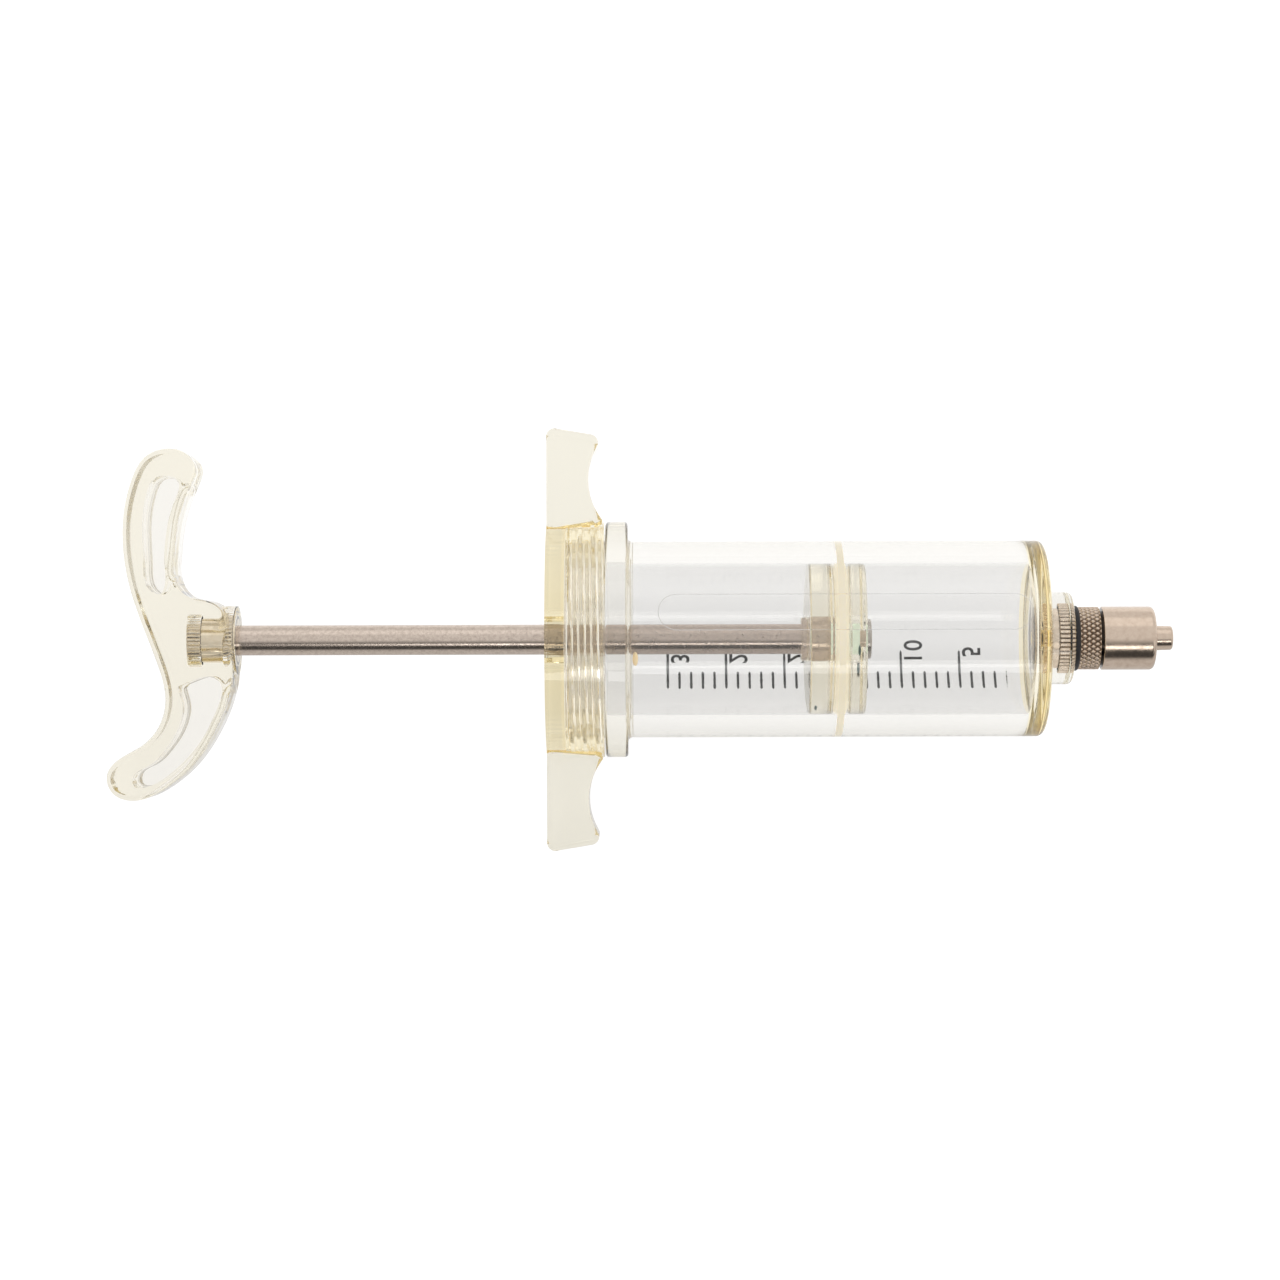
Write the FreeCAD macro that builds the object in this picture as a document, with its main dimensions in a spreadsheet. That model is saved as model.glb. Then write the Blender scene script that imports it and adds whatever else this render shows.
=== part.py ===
import FreeCAD, Part
import math
import os
import Sketcher

Vector = FreeCAD.Vector
Rotation = FreeCAD.Rotation

# A reusable 30 ml syringe in clear plastic with nickel-plated metal fittings, in millimetres.
# On the bench the syringe's axis is X, towards the luer tip, and the wings lie in the XY plane.
# X starts at the front face of the barrel's flange. At the end every piece is put into the
# part's own frame, whose origin is the mouth of the luer tip, rolled until it lies on one wing.

SIZES = (
    # Barrel
    ("bore_radius", 12.65, "inside of the barrel"),
    ("tube_wall", 3.6, "wall of the barrel"),
    ("chamber_length", 66.95, "flange face to the inside of the nose wall"),
    ("nose_wall", 1.75, "thickness of the nose wall"),
    ("nose_round", 1.2, "round of the nose rim"),
    ("chamber_round", 0.6, "round inside the nose"),
    ("boss_radius", 7.65, "boss that carries the luer fitting"),
    ("boss_length", 4.8, "height of that boss"),
    ("boss_root", 1.0, "fillet at the foot of the boss"),
    ("boss_round", 0.9, "round of the boss's front edge"),
    ("outlet_radius", 1.4, "hole through the nose wall"),
    ("outlet_length", 1.25, "nose wall in front of the nose insert"),
    ("flange_height", 3.25, "flange that the cap stops against, over the tube"),
    ("flange_thickness", 3.7, "length of that flange"),
    ("flange_root", 0.8, "fillet between flange and tube"),
    ("flange_round", 0.5, "round of the flange's rims"),
    ("spigot_step", 0.15, "threaded tail of the barrel, at the thread's root, over the tube"),
    ("spigot_length", 6.5, "length of that tail"),
    # Grip cap
    ("disc_thickness", 3.1, "end wall of the cap"),
    ("cap_clearance", 0.1, "barrel's rear end to the end wall"),
    ("skirt_clearance", 0.2, "cap's rim to the barrel's flange"),
    ("thread_height", 0.9, "ridge of the barrel's thread"),
    ("thread_clearance", 0.25, "play between the two threads"),
    ("rod_hole_clearance", 0.6, "hole in the end wall round the rod"),
    ("wing_reach", 35.0, "axis to a wing's tip"),
    ("wing_thickness", 12.7, "wing across its two faces"),
    ("wing_tip_fall", 1.6, "how far the tip slopes in towards its lip"),
    ("wing_root_set", 0.3, "wing's face behind the cap's rim at the root"),
    ("scoop_radius", 10.9, "hollow that the fingers pull on"),
    ("scoop_foot", 0.2, "foot of the hollow outside the collar"),
    ("tip_round", 1.3, "rounded corners of a wing's tip"),
    ("wing_round", 1.2, "rounded edges of the wings"),
    # Nose insert and gasket
    ("insert_radius", 3.85, "knurled bands of the nose insert"),
    ("insert_waist", 3.3, "smooth groove between its bands"),
    ("insert_band", 1.8, "length of each band"),
    ("insert_gap", 1.1, "length of the groove"),
    ("insert_bite", 0.02, "plastic moulded on to metal"),
    ("stem_radius", 1.9, "screwed stem of the luer fitting"),
    ("screw_clearance", 0.05, "play of the screwed stems"),
    ("gasket_radius", 5.4, "rubber washer"),
    ("gasket_thickness", 0.95, "washer between boss and fitting"),
    ("gasket_clearance", 0.15, "washer round the stem"),
    ("gasket_round", 0.3, "round of the washer's rim"),
    ("seat_gap", 0.02, "faces that are screwed together"),
    # Luer lock fitting
    ("channel_radius", 1.05, "channel through the fitting"),
    ("base_radius", 5.2, "knurled grip of the fitting"),
    ("base_length", 3.45, "length of that grip"),
    ("groove_radius", 4.85, "groove in front of the grip"),
    ("groove_width", 0.5, "width of that groove"),
    ("lock_radius", 5.25, "outside of the lock's skirt"),
    ("lock_length", 8.7, "length of the skirt"),
    ("lock_round", 0.8, "round of the skirt's front rim"),
    ("lock_bore", 4.0, "inside of the skirt at the lock thread's root"),
    ("lock_depth", 6.6, "depth of the skirt's hollow"),
    ("tip_radius", 1.97, "luer cone at its mouth"),
    ("tip_taper", 0.03, "growth of the cone's radius for each millimetre"),
    ("tip_reach", 3.1, "cone in front of the skirt"),
    ("tip_round_radius", 0.4, "round at the cone's mouth"),
    # Plunger
    ("rest_station", 29.6, "rear face of the piston as the plunger stands"),
    ("piston_clearance", 0.15, "both halves of the piston to the bore"),
    ("rear_half_length", 4.0, "rear half, behind the ring"),
    ("front_half_length", 2.8, "front half, ahead of the ring"),
    ("piston_round", 0.4, "rounds of the piston's rims"),
    ("neck_radius", 3.6, "collar of the rear half round the rod"),
    ("neck_length", 1.0, "length of that collar"),
    ("ring_section", 1.1, "half the thickness of the seal ring"),
    ("ring_play", 0.15, "seal ring to each side of its groove"),
    ("ring_running", 0.05, "seal ring to the bore"),
    ("pad_radius", 4.3, "raised pad under the nut"),
    ("pad_height", 0.45, "height of that pad"),
    ("bush_radius", 2.6, "bush in the piston's core"),
    ("bush_length", 4.7, "length of the bush"),
    ("stud_radius", 1.4, "thin front end of the rod"),
    ("nut_radius", 3.3, "round nut on the piston's front"),
    ("nut_thickness", 0.8, "thickness of the nut"),
    ("nut_cover", 0.3, "nut's closed front wall"),
    ("nut_round", 0.25, "round of the nut's rim"),
    ("rod_radius", 2.5, "plunger rod"),
    ("rod_reach", 94.3, "handle's hub to the piston's rear face"),
    ("rod_depth", 3.7, "rod inside the rear half"),
    ("rod_tail", 7.0, "rod inside the handle"),
    # Handle insert
    ("socket_radius", 4.3, "knurled bands of the handle insert"),
    ("socket_waist", 3.65, "smooth parts of the handle insert"),
    ("socket_lip", 0.5, "smooth mouth of the insert"),
    ("socket_front_band", 1.6, "front band"),
    ("socket_gap", 3.6, "groove between the bands"),
    ("socket_rear_band", 2.3, "rear band"),
    # Handle, from the front face of its hub
    ("grip_thickness", 12.0, "handle across its two faces"),
    ("web_thickness", 3.0, "web between the pockets"),
    ("grip_round", 0.9, "rounded edges of the handle"),
    ("hub_radius", 5.7, "hub at its front face"),
    ("hub_root_radius", 5.9, "hub inside the grip"),
    ("hub_length", 10.0, "length of the hub"),
)

# Points of the handle's outlines: how far behind the hub's front face, and how high above the axis
LIMBS = (
    ("root_brow", 2.3, 5.2),
    ("root_above", 4.4, 6.5),
    ("root_flare", 7.6, 7.25),
    ("waist_low", 9.75, 9.8),
    ("waist", 10.0, 14.0),
    ("throat", 9.05, 20.7),
    ("knob_under", 7.25, 25.6),
    ("knob_front", 6.5, 28.7),
    ("knob_brow", 8.2, 30.95),
    ("knob_top", 11.35, 31.6),
    ("knob_back", 14.75, 30.2),
    ("nape", 16.75, 26.9),
    ("back_high", 18.15, 21.5),
    ("back_middle", 18.35, 15.6),
    ("back_low", 17.25, 8.8),
    ("loin", 15.35, 3.0),
    ("saddle_high", 12.75, -3.8),
    ("saddle", 11.45, -9.4),
    ("saddle_low", 12.45, -14.0),
    ("hook_neck", 15.35, -17.3),
    ("hook_upper", 18.95, -19.4),
    ("hook_end", 21.05, -22.0),
    ("hook_lower", 20.25, -25.0),
    ("hook_sole", 16.6, -26.35),
    ("belly_end", 11.9, -24.6),
    ("belly_low", 6.95, -20.4),
    ("belly", 3.15, -14.6),
    ("belly_high", 0.8, -8.4),
    ("root_front", 0.4, -4.0),
    ("root_inside", 1.2, 1.0),
)
UPPER_POCKET = (
    ("upper_pocket_top", 11.4, 27.1),
    ("upper_pocket_brow", 9.0, 26.0),
    ("upper_pocket_throat", 9.9, 22.4),
    ("upper_pocket_front", 11.15, 17.2),
    ("upper_pocket_waist", 11.4, 12.6),
    ("upper_pocket_toe", 11.4, 8.9),
    ("upper_pocket_foot", 12.1, 7.7),
    ("upper_pocket_heel", 13.7, 8.2),
    ("upper_pocket_back_low", 14.9, 12.6),
    ("upper_pocket_back", 15.1, 18.4),
    ("upper_pocket_nape", 14.1, 25.0),
)
LOWER_POCKET = (
    ("lower_pocket_corner", 9.0, -7.4),
    ("lower_pocket_top", 6.75, -6.5),
    ("lower_pocket_shoulder", 2.9, -6.3),
    ("lower_pocket_brow", 2.1, -7.4),
    ("lower_pocket_front", 2.75, -11.0),
    ("lower_pocket_belly", 4.6, -15.0),
    ("lower_pocket_belly_low", 7.1, -18.6),
    ("lower_pocket_sole", 10.95, -22.2),
    ("lower_pocket_toe", 14.35, -24.0),
    ("lower_pocket_end", 16.5, -23.9),
    ("lower_pocket_hook", 16.6, -22.3),
    ("lower_pocket_neck", 14.3, -20.7),
    ("lower_pocket_back_low", 11.67, -18.3),
    ("lower_pocket_back", 9.69, -15.4),
    ("lower_pocket_saddle", 8.65, -12.5),
    ("lower_pocket_back_high", 8.8, -9.5),
)

doc = FreeCAD.newDocument("LuerLockSyringe")
sheet = doc.addObject("Spreadsheet::Sheet", "Sizes")
rows = list(SIZES)
for point, back, height in LIMBS + UPPER_POCKET + LOWER_POCKET:
    rows.append((point + "_back", back, point + " behind the hub's face"))
    rows.append((point + "_height", height, point + " above the axis"))
for row, (alias, number, words) in enumerate(rows, start=1):
    sheet.set(f"A{row}", words.replace("_", " "))
    sheet.set(f"B{row}", str(number))
    sheet.setAlias(f"B{row}", alias)
doc.recompute()


class Length:
    """A size with its formula, so that a sketch can both start from the number and follow the sheet."""

    def __init__(self, formula, number):
        self.formula = formula
        self.number = number

    def _with(self, sign, other, number):
        return Length(f"({self.formula} {sign} {as_length(other).formula})", number)

    def __add__(self, other):
        return self._with("+", other, self.number + as_length(other).number)

    def __sub__(self, other):
        return self._with("-", other, self.number - as_length(other).number)

    def __mul__(self, other):
        return self._with("*", other, self.number * as_length(other).number)

    def __truediv__(self, other):
        return self._with("/", other, self.number / as_length(other).number)

    def __neg__(self):
        return Length(f"(-{self.formula})", -self.number)


def as_length(value):
    return value if isinstance(value, Length) else Length(str(value), float(value))


def size(alias):
    """The sheet's cell of that name."""
    return Length(f"Sizes.{alias}", float(sheet.get(alias)))


ZERO = Length("0", 0.0)

# Stations along the bench axis, each from the pieces that set it
barrel_end = -size("flange_thickness") - size("spigot_length")
flange_rear = -size("flange_thickness")
chamber_end = size("chamber_length")
nose_face = chamber_end + size("nose_wall")
boss_face = nose_face + size("boss_length")
insert_start = chamber_end + size("outlet_length")
disc_front = barrel_end - size("cap_clearance")
cap_rear = disc_front - size("disc_thickness")
cap_front = flange_rear - size("skirt_clearance")
gasket_start = boss_face + size("seat_gap")
gasket_end = gasket_start + size("gasket_thickness")
base_start = gasket_end + size("seat_gap")
base_end = base_start + size("base_length")
lock_start = base_end + size("groove_width")
lock_end = lock_start + size("lock_length")
lock_floor = lock_end - size("lock_depth")
mouth = lock_end + size("tip_reach")
piston_rear_face = size("rest_station")
ring_groove_start = piston_rear_face + size("rear_half_length")
ring_groove_width = size("ring_section") * 2 + size("ring_play") * 2
ring_groove_end = ring_groove_start + ring_groove_width
piston_front_face = ring_groove_end + size("front_half_length")
pad_face = piston_front_face + size("pad_height")
nut_start = pad_face + size("seat_gap")
nut_end = nut_start + size("nut_thickness")
rod_shoulder = piston_rear_face + size("rod_depth")
hub_face = piston_rear_face - size("rod_reach")

# Radii that follow from what a piece fits; the cap's collar is flush with the barrel's flange
tube_radius = size("bore_radius") + size("tube_wall")
flange_radius = tube_radius + size("flange_height")
spigot_radius = tube_radius + size("spigot_step")
piston_radius = size("bore_radius") - size("piston_clearance")
rod_hole_radius = size("rod_radius") + size("rod_hole_clearance")
thread_bore = spigot_radius + size("thread_height") + size("thread_clearance")
ring_radius = size("bore_radius") - size("ring_running") - size("ring_section")
groove_floor = ring_radius - size("ring_section") - size("ring_running")
socket_bore = size("rod_radius") + size("screw_clearance")

# The roll that brings a wing's rounded edge down to the level of the round cap
half_wing = size("wing_thickness").number / 2 - size("wing_round").number
wing_arm = size("wing_reach").number - size("wing_round").number
drop = flange_radius.number - size("wing_round").number
fall = math.asin(drop / math.hypot(wing_arm, half_wing))
rest_roll = math.degrees(fall - math.atan2(half_wing, wing_arm))


def seat(piece, label):
    """Puts a finished piece into the part's frame, under the name of its file."""
    piece.Label = label
    piece.Placement = FreeCAD.Placement(Vector(-mouth.number, 0, 0), Rotation(Vector(1, 0, 0), rest_roll))
    piece.setExpression("Placement.Base.x", (-mouth).formula)
    return piece


def new_body(name):
    return doc.addObject("PartDesign::Body", name + "_body")


def plane_of(body, role):
    return next(f for f in body.Origin.OriginFeatures if f.Role == role)


def new_sketch(body, name, role="XY_Plane"):
    sketch = body.newObject("Sketcher::SketchObject", name)
    sketch.AttachmentSupport = (plane_of(body, role), "")
    sketch.MapMode = "FlatFace"
    return sketch


def pin_point(sketch, curve, end, x, y):
    """Ties one end of a curve to two formulas of the sheet."""
    for kind, axis, length in (("DistanceX", -2, x), ("DistanceY", -1, y)):
        if length is ZERO:
            sketch.addConstraint(Sketcher.Constraint("PointOnObject", curve, end, axis))
            continue
        held = sketch.addConstraint(Sketcher.Constraint(kind, -1, 1, curve, end, length.number))
        sketch.setExpression(f"Constraints[{held}]", length.formula)


def arc_between(start, end, radius):
    """The short arc of that radius from start to end, bulging to the right of the way there."""
    a, b = Vector(*start, 0), Vector(*end, 0)
    chord = b - a
    rise = radius - math.sqrt(radius * radius - chord.Length ** 2 / 4)
    side = Vector(chord.y, -chord.x, 0).normalize() * rise
    return Part.Arc(a, (a + b) / 2 + side, b)


def outline_sketch(body, name, corners, role="XY_Plane", arcs=None):
    """A closed outline through corners (x, y). arcs gives a radius for the side that leaves a corner."""
    sketch = new_sketch(body, name, role)
    count = len(corners)
    arcs = arcs or {}
    backwards = set()
    for i in range(count):
        start = tuple(c.number for c in corners[i])
        end = tuple(c.number for c in corners[(i + 1) % count])
        if i in arcs:
            curve = sketch.addGeometry(arc_between(start, end, arcs[i].number), False)
            begins = sketch.getPoint(curve, 1)
            if (begins - Vector(*start, 0)).Length > 1e-6:
                backwards.add(i)
        else:
            sketch.addGeometry(Part.LineSegment(Vector(*start, 0), Vector(*end, 0)), False)
    for i in range(count):
        after = (i + 1) % count
        tail = 1 if i in backwards else 2
        head = 2 if after in backwards else 1
        sketch.addConstraint(Sketcher.Constraint("Coincident", i, tail, after, head))
    for i, (x, y) in enumerate(corners):
        pin_point(sketch, i, 2 if i in backwards else 1, x, y)
    for i, radius in arcs.items():
        held = sketch.addConstraint(Sketcher.Constraint("Radius", i, radius.number))
        sketch.setExpression(f"Constraints[{held}]", radius.formula)
    return sketch


def turn(body, name, corners, kind="PartDesign::Revolution", arcs=None):
    """Turns an outline of (station, radius) corners about the syringe's axis."""
    sketch = outline_sketch(body, name + "_profile", corners, arcs=arcs)
    feature = body.newObject(kind, name)
    feature.Profile = sketch
    feature.ReferenceAxis = (sketch, ["H_Axis"])
    feature.Angle = 360
    doc.recompute()
    return feature


def ring_edges(feature, *rings):
    """Names of the circular edges at each (station, radius)."""
    found = []
    for number, edge in enumerate(feature.Shape.Edges, start=1):
        if not isinstance(edge.Curve, Part.Circle):
            continue
        for station, radius in rings:
            near_station = abs(edge.Curve.Center.x - station.number) < 0.001
            if near_station and abs(edge.Curve.Radius - radius.number) < 0.001:
                found.append(f"Edge{number}")
    return found


def round_edges(body, name, base, edges, radius):
    """Rounds the named edges of a feature."""
    feature = body.newObject("PartDesign::Fillet", name)
    feature.Base = (base, edges)
    feature.Radius = radius.number
    feature.setExpression("Radius", radius.formula)
    doc.recompute()
    return feature


def insert_steps(start, bands, play):
    """Stations and radii along a moulded-in insert, from bands of (length, radius)."""
    steps = []
    station = start
    for length, radius in bands:
        steps.append((station, radius - play))
        station = station + length
        steps.append((station, radius - play))
    return steps


nose_bands = (
    (size("insert_band"), size("insert_radius")),
    (size("insert_gap"), size("insert_waist")),
    (size("insert_band"), size("insert_radius")),
)
nose_steps = insert_steps(insert_start, nose_bands, ZERO)
nose_cavity = insert_steps(insert_start, nose_bands, size("insert_bite"))
insert_end = nose_steps[-1][0]


def make_barrel():
    """The moulded barrel: threaded tail, flange, tube, nose wall and the boss round its insert."""
    body = new_body("barrel")
    bore, tube, flange = size("bore_radius"), tube_radius, flange_radius
    boss, outlet = size("boss_radius"), size("outlet_radius")
    corners = [
        (barrel_end, bore),
        (barrel_end, spigot_radius),
        (flange_rear, spigot_radius),
        (flange_rear, flange),
        (ZERO, flange),
        (ZERO, tube),
        (nose_face, tube),
        (nose_face, boss),
        (boss_face, boss),
        (boss_face, size("stem_radius") + size("gasket_clearance")),
        (insert_end, size("stem_radius") + size("gasket_clearance")),
    ]
    corners += list(reversed(nose_cavity))
    corners += [(insert_start, outlet), (chamber_end, outlet), (chamber_end, bore)]
    shell = turn(body, "barrel_shell", corners)
    edges = ring_edges(shell, (nose_face, tube))
    shell = round_edges(body, "nose_rim", shell, edges, size("nose_round"))
    edges = ring_edges(shell, (nose_face, boss))
    shell = round_edges(body, "boss_foot", shell, edges, size("boss_root"))
    edges = ring_edges(shell, (boss_face, boss))
    shell = round_edges(body, "boss_rim", shell, edges, size("boss_round"))
    edges = ring_edges(shell, (ZERO, tube))
    shell = round_edges(body, "flange_foot", shell, edges, size("flange_root"))
    edges = ring_edges(shell, (ZERO, flange), (flange_rear, flange))
    shell = round_edges(body, "flange_rims", shell, edges, size("flange_round"))
    edges = ring_edges(shell, (chamber_end, bore))
    round_edges(body, "chamber_corner", shell, edges, size("chamber_round"))
    return seat(body, "barrel")


def make_nose_insert():
    """The knurled metal insert that the luer fitting screws into."""
    body = new_body("nose_insert")
    hole = size("stem_radius") + size("screw_clearance")
    turn(body, "insert", [(insert_start, hole)] + nose_steps + [(insert_end, hole)])
    return seat(body, "nose_insert")


def make_gasket():
    """The black rubber washer between the boss and the fitting."""
    body = new_body("nose_gasket")
    inner, outer = size("stem_radius") + size("gasket_clearance"), size("gasket_radius")
    corners = [(gasket_start, inner), (gasket_start, outer), (gasket_end, outer), (gasket_end, inner)]
    washer = turn(body, "washer", corners)
    edges = ring_edges(washer, (gasket_start, outer), (gasket_end, outer))
    round_edges(body, "washer_rims", washer, edges, size("gasket_round"))
    return seat(body, "nose_gasket")


def make_luer_fitting():
    """One turned piece: screwed stem, grip, lock skirt and the tapered luer cone inside it."""
    body = new_body("luer_lock_fitting")
    channel, stem, base = size("channel_radius"), size("stem_radius"), size("base_radius")
    lock, hollow, tip = size("lock_radius"), size("lock_bore"), size("tip_radius")
    cone_root = tip + size("tip_taper") * (mouth - lock_floor)
    corners = [
        (insert_start, channel),
        (insert_start, stem),
        (base_start, stem),
        (base_start, base),
        (base_end, base),
        (base_end, size("groove_radius")),
        (lock_start, size("groove_radius")),
        (lock_start, lock),
        (lock_end, lock),
        (lock_end, hollow),
        (lock_floor, hollow),
        (lock_floor, cone_root),
        (mouth, tip),
        (mouth, channel),
    ]
    fitting = turn(body, "fitting", corners)
    edges = ring_edges(fitting, (lock_end, lock))
    fitting = round_edges(body, "skirt_rim", fitting, edges, size("lock_round"))
    edges = ring_edges(fitting, (mouth, tip))
    round_edges(body, "cone_mouth", fitting, edges, size("tip_round_radius"))
    return seat(body, "luer_lock_fitting")


def make_grip_cap():
    """The screw cap that holds the plunger in, with a wing for a finger on each side."""
    body = new_body("grip_cap")
    reach, lip = size("wing_reach"), size("wing_reach") - size("wing_tip_fall")
    root = flange_radius + size("scoop_foot")
    root_station = cap_front - size("wing_root_set")
    corners = [
        (cap_rear, reach),
        (cap_front, lip),
        (root_station, root),
        (root_station, -root),
        (cap_front, -lip),
        (cap_rear, -reach),
    ]
    scoops = {1: size("scoop_radius"), 3: size("scoop_radius")}
    outline = outline_sketch(body, "wing_outline", corners, arcs=scoops)
    wings = body.newObject("PartDesign::Pad", "wings")
    wings.Profile = outline
    wings.Midplane = True
    wings.Length = size("wing_thickness").number
    wings.setExpression("Length", size("wing_thickness").formula)
    doc.recompute()
    tips = upright_edges(wings, root)
    wings = round_edges(body, "wing_tip_corners", wings, tips, size("tip_round"))
    wings = round_edges(body, "wing_rims", wings, face_edges(wings), size("wing_round"))
    corners = [(cap_rear, ZERO), (cap_rear, flange_radius), (cap_front, flange_radius), (cap_front, ZERO)]
    turn(body, "collar", corners)
    beyond = size("skirt_clearance")
    corners = [
        (cap_rear - beyond, ZERO),
        (cap_rear - beyond, rod_hole_radius),
        (disc_front, rod_hole_radius),
        (disc_front, thread_bore),
        (cap_front + beyond, thread_bore),
        (cap_front + beyond, ZERO),
    ]
    turn(body, "cap_inside", corners, kind="PartDesign::Groove")
    return seat(body, "grip_cap")


def upright_edges(feature, height):
    """Names of the edges that run across a pad's thickness farther out than height."""
    found = []
    for number, edge in enumerate(feature.Shape.Edges, start=1):
        box = edge.BoundBox
        if box.XLength + box.YLength < 0.001 and abs(box.YMin) > height.number + 0.001:
            found.append(f"Edge{number}")
    return found


def face_edges(feature):
    """Names of the edges that bound a pad's two flat faces."""
    found = []
    top = feature.Shape.BoundBox.ZMax
    for number, edge in enumerate(feature.Shape.Edges, start=1):
        box = edge.BoundBox
        if box.ZLength < 0.001 and abs(abs(box.ZMax) - top) < 0.001:
            found.append(f"Edge{number}")
    return found


def make_piston():
    """Two clear halves that clamp the seal ring, the bush in their core and the nut that draws them up."""
    piston, floor = piston_radius, groove_floor
    neck_start = piston_rear_face - size("neck_length")
    grip = size("rod_radius") - size("insert_bite")
    bush_hole = size("bush_radius") + size("screw_clearance")
    core_end = rod_shoulder + size("bush_length") + size("seat_gap")
    stud_hole = size("stud_radius") + size("screw_clearance")
    middle = ring_groove_end - size("seat_gap")

    rear = new_body("piston_rear")
    corners = [
        (neck_start, grip),
        (neck_start, size("neck_radius")),
        (piston_rear_face, size("neck_radius")),
        (piston_rear_face, piston),
        (ring_groove_start, piston),
        (ring_groove_start, floor),
        (middle, floor),
        (middle, bush_hole),
        (rod_shoulder, bush_hole),
        (rod_shoulder, grip),
    ]
    shape = turn(rear, "rear_half", corners)
    rims = ring_edges(shape, (piston_rear_face, piston), (ring_groove_start, piston))
    round_edges(rear, "rear_half_rims", shape, rims, size("piston_round"))
    seat(rear, "piston_rear")

    front = new_body("piston_front")
    corners = [
        (ring_groove_end, bush_hole),
        (ring_groove_end, piston),
        (piston_front_face, piston),
        (piston_front_face, size("pad_radius")),
        (pad_face, size("pad_radius")),
        (pad_face, stud_hole),
        (core_end, stud_hole),
        (core_end, bush_hole),
    ]
    shape = turn(front, "front_half", corners)
    rims = ring_edges(shape, (ring_groove_end, piston), (piston_front_face, piston))
    round_edges(front, "front_half_rims", shape, rims, size("piston_round"))
    seat(front, "piston_front")

    ring = new_body("seal_ring")
    section = new_sketch(ring, "ring_section")
    centre_station = ring_groove_start + size("ring_play") + size("ring_section")
    centre = Vector(centre_station.number, ring_radius.number, 0)
    section.addGeometry(Part.Circle(centre, Vector(0, 0, 1), size("ring_section").number), False)
    pin_point(section, 0, 3, centre_station, ring_radius)
    held = section.addConstraint(Sketcher.Constraint("Radius", 0, size("ring_section").number))
    section.setExpression(f"Constraints[{held}]", size("ring_section").formula)
    hoop = ring.newObject("PartDesign::Revolution", "hoop")
    hoop.Profile = section
    hoop.ReferenceAxis = (section, ["H_Axis"])
    hoop.Angle = 360
    seat(ring, "seal_ring")

    bush = new_body("piston_bush")
    start, end = rod_shoulder + size("seat_gap"), rod_shoulder + size("bush_length")
    outer = size("bush_radius")
    turn(bush, "bush", [(start, stud_hole), (start, outer), (end, outer), (end, stud_hole)])
    seat(bush, "piston_bush")

    nut = new_body("piston_nut")
    outer, blind = size("nut_radius"), nut_end - size("nut_cover")
    corners = [
        (nut_start, stud_hole),
        (nut_start, outer),
        (nut_end, outer),
        (nut_end, ZERO),
        (blind, ZERO),
        (blind, stud_hole),
    ]
    shape = turn(nut, "nut", corners)
    round_edges(nut, "nut_rim", shape, ring_edges(shape, (nut_end, outer)), size("nut_round"))
    seat(nut, "piston_nut")


def make_rod():
    """The plunger rod, stepped down to a stud that carries the piston."""
    body = new_body("plunger_rod")
    rod, stud = size("rod_radius"), size("stud_radius")
    tail, tip = hub_face - size("rod_tail"), nut_end - size("nut_cover") - size("screw_clearance")
    corners = [(tail, ZERO), (tail, rod), (rod_shoulder, rod)]
    corners += [(rod_shoulder, stud), (tip, stud), (tip, ZERO)]
    turn(body, "rod", corners)
    return seat(body, "plunger_rod")


socket_bands = (
    (size("socket_rear_band"), size("socket_radius")),
    (size("socket_gap"), size("socket_waist")),
    (size("socket_front_band"), size("socket_radius")),
    (size("socket_lip"), size("socket_waist")),
)
socket_start = hub_face
for band_length, band_radius in socket_bands:
    socket_start = socket_start - band_length
socket_steps = insert_steps(socket_start, socket_bands, ZERO)
socket_cavity = insert_steps(socket_start, socket_bands, size("insert_bite"))


def make_handle_insert():
    """The knurled metal socket moulded into the handle's hub."""
    body = new_body("handle_insert")
    floor = hub_face - size("rod_tail") - size("screw_clearance")
    corners = [(socket_start, ZERO)] + socket_steps
    corners += [(hub_face, socket_bore), (floor, socket_bore), (floor, ZERO)]
    turn(body, "socket", corners)
    return seat(body, "handle_insert")


def flat_face(name, points):
    """A flat face inside one smooth closed curve through points of the sheet, behind the hub's face."""
    curve = Part.BSplineCurve()
    through = [Vector(-size(p + "_back").number, size(p + "_height").number, 0) for p, _, _ in points]
    curve.interpolate(Points=through, PeriodicFlag=True)
    feature = doc.addObject("Part::Feature", name)
    feature.Shape = Part.Face(Part.Wire([curve.toShape()]))
    feature.Placement = FreeCAD.Placement(Vector(hub_face.number, 0, 0), Rotation())
    feature.setExpression("Placement.Base.x", hub_face.formula)
    return feature


def slab(name, face, above, below):
    """A face made solid, from one height to another over the XY plane."""
    feature = doc.addObject("Part::Extrusion", name)
    feature.Base = face
    feature.DirMode = "Custom"
    feature.Dir = Vector(0, 0, 1)
    feature.Solid = True
    feature.setExpression("LengthFwd", above.formula)
    feature.setExpression("LengthRev", (-below).formula)
    doc.recompute()
    return feature


def joined(name, kind, base, tool):
    """A cut, fusion or common solid of two others."""
    feature = doc.addObject(kind, name)
    feature.Base = base
    feature.Tool = tool
    doc.recompute()
    return feature


def together(name, pieces):
    """Several solids fused into one."""
    feature = doc.addObject("Part::MultiFuse", name)
    feature.Shapes = pieces
    doc.recompute()
    return feature


def rounded(name, base, edges, radius):
    """Rounds the numbered edges of a solid."""
    feature = doc.addObject("Part::Fillet", name)
    feature.Base = base
    feature.Edges = [(edge, radius.number, radius.number) for edge in edges]
    doc.recompute()
    return feature


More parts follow.
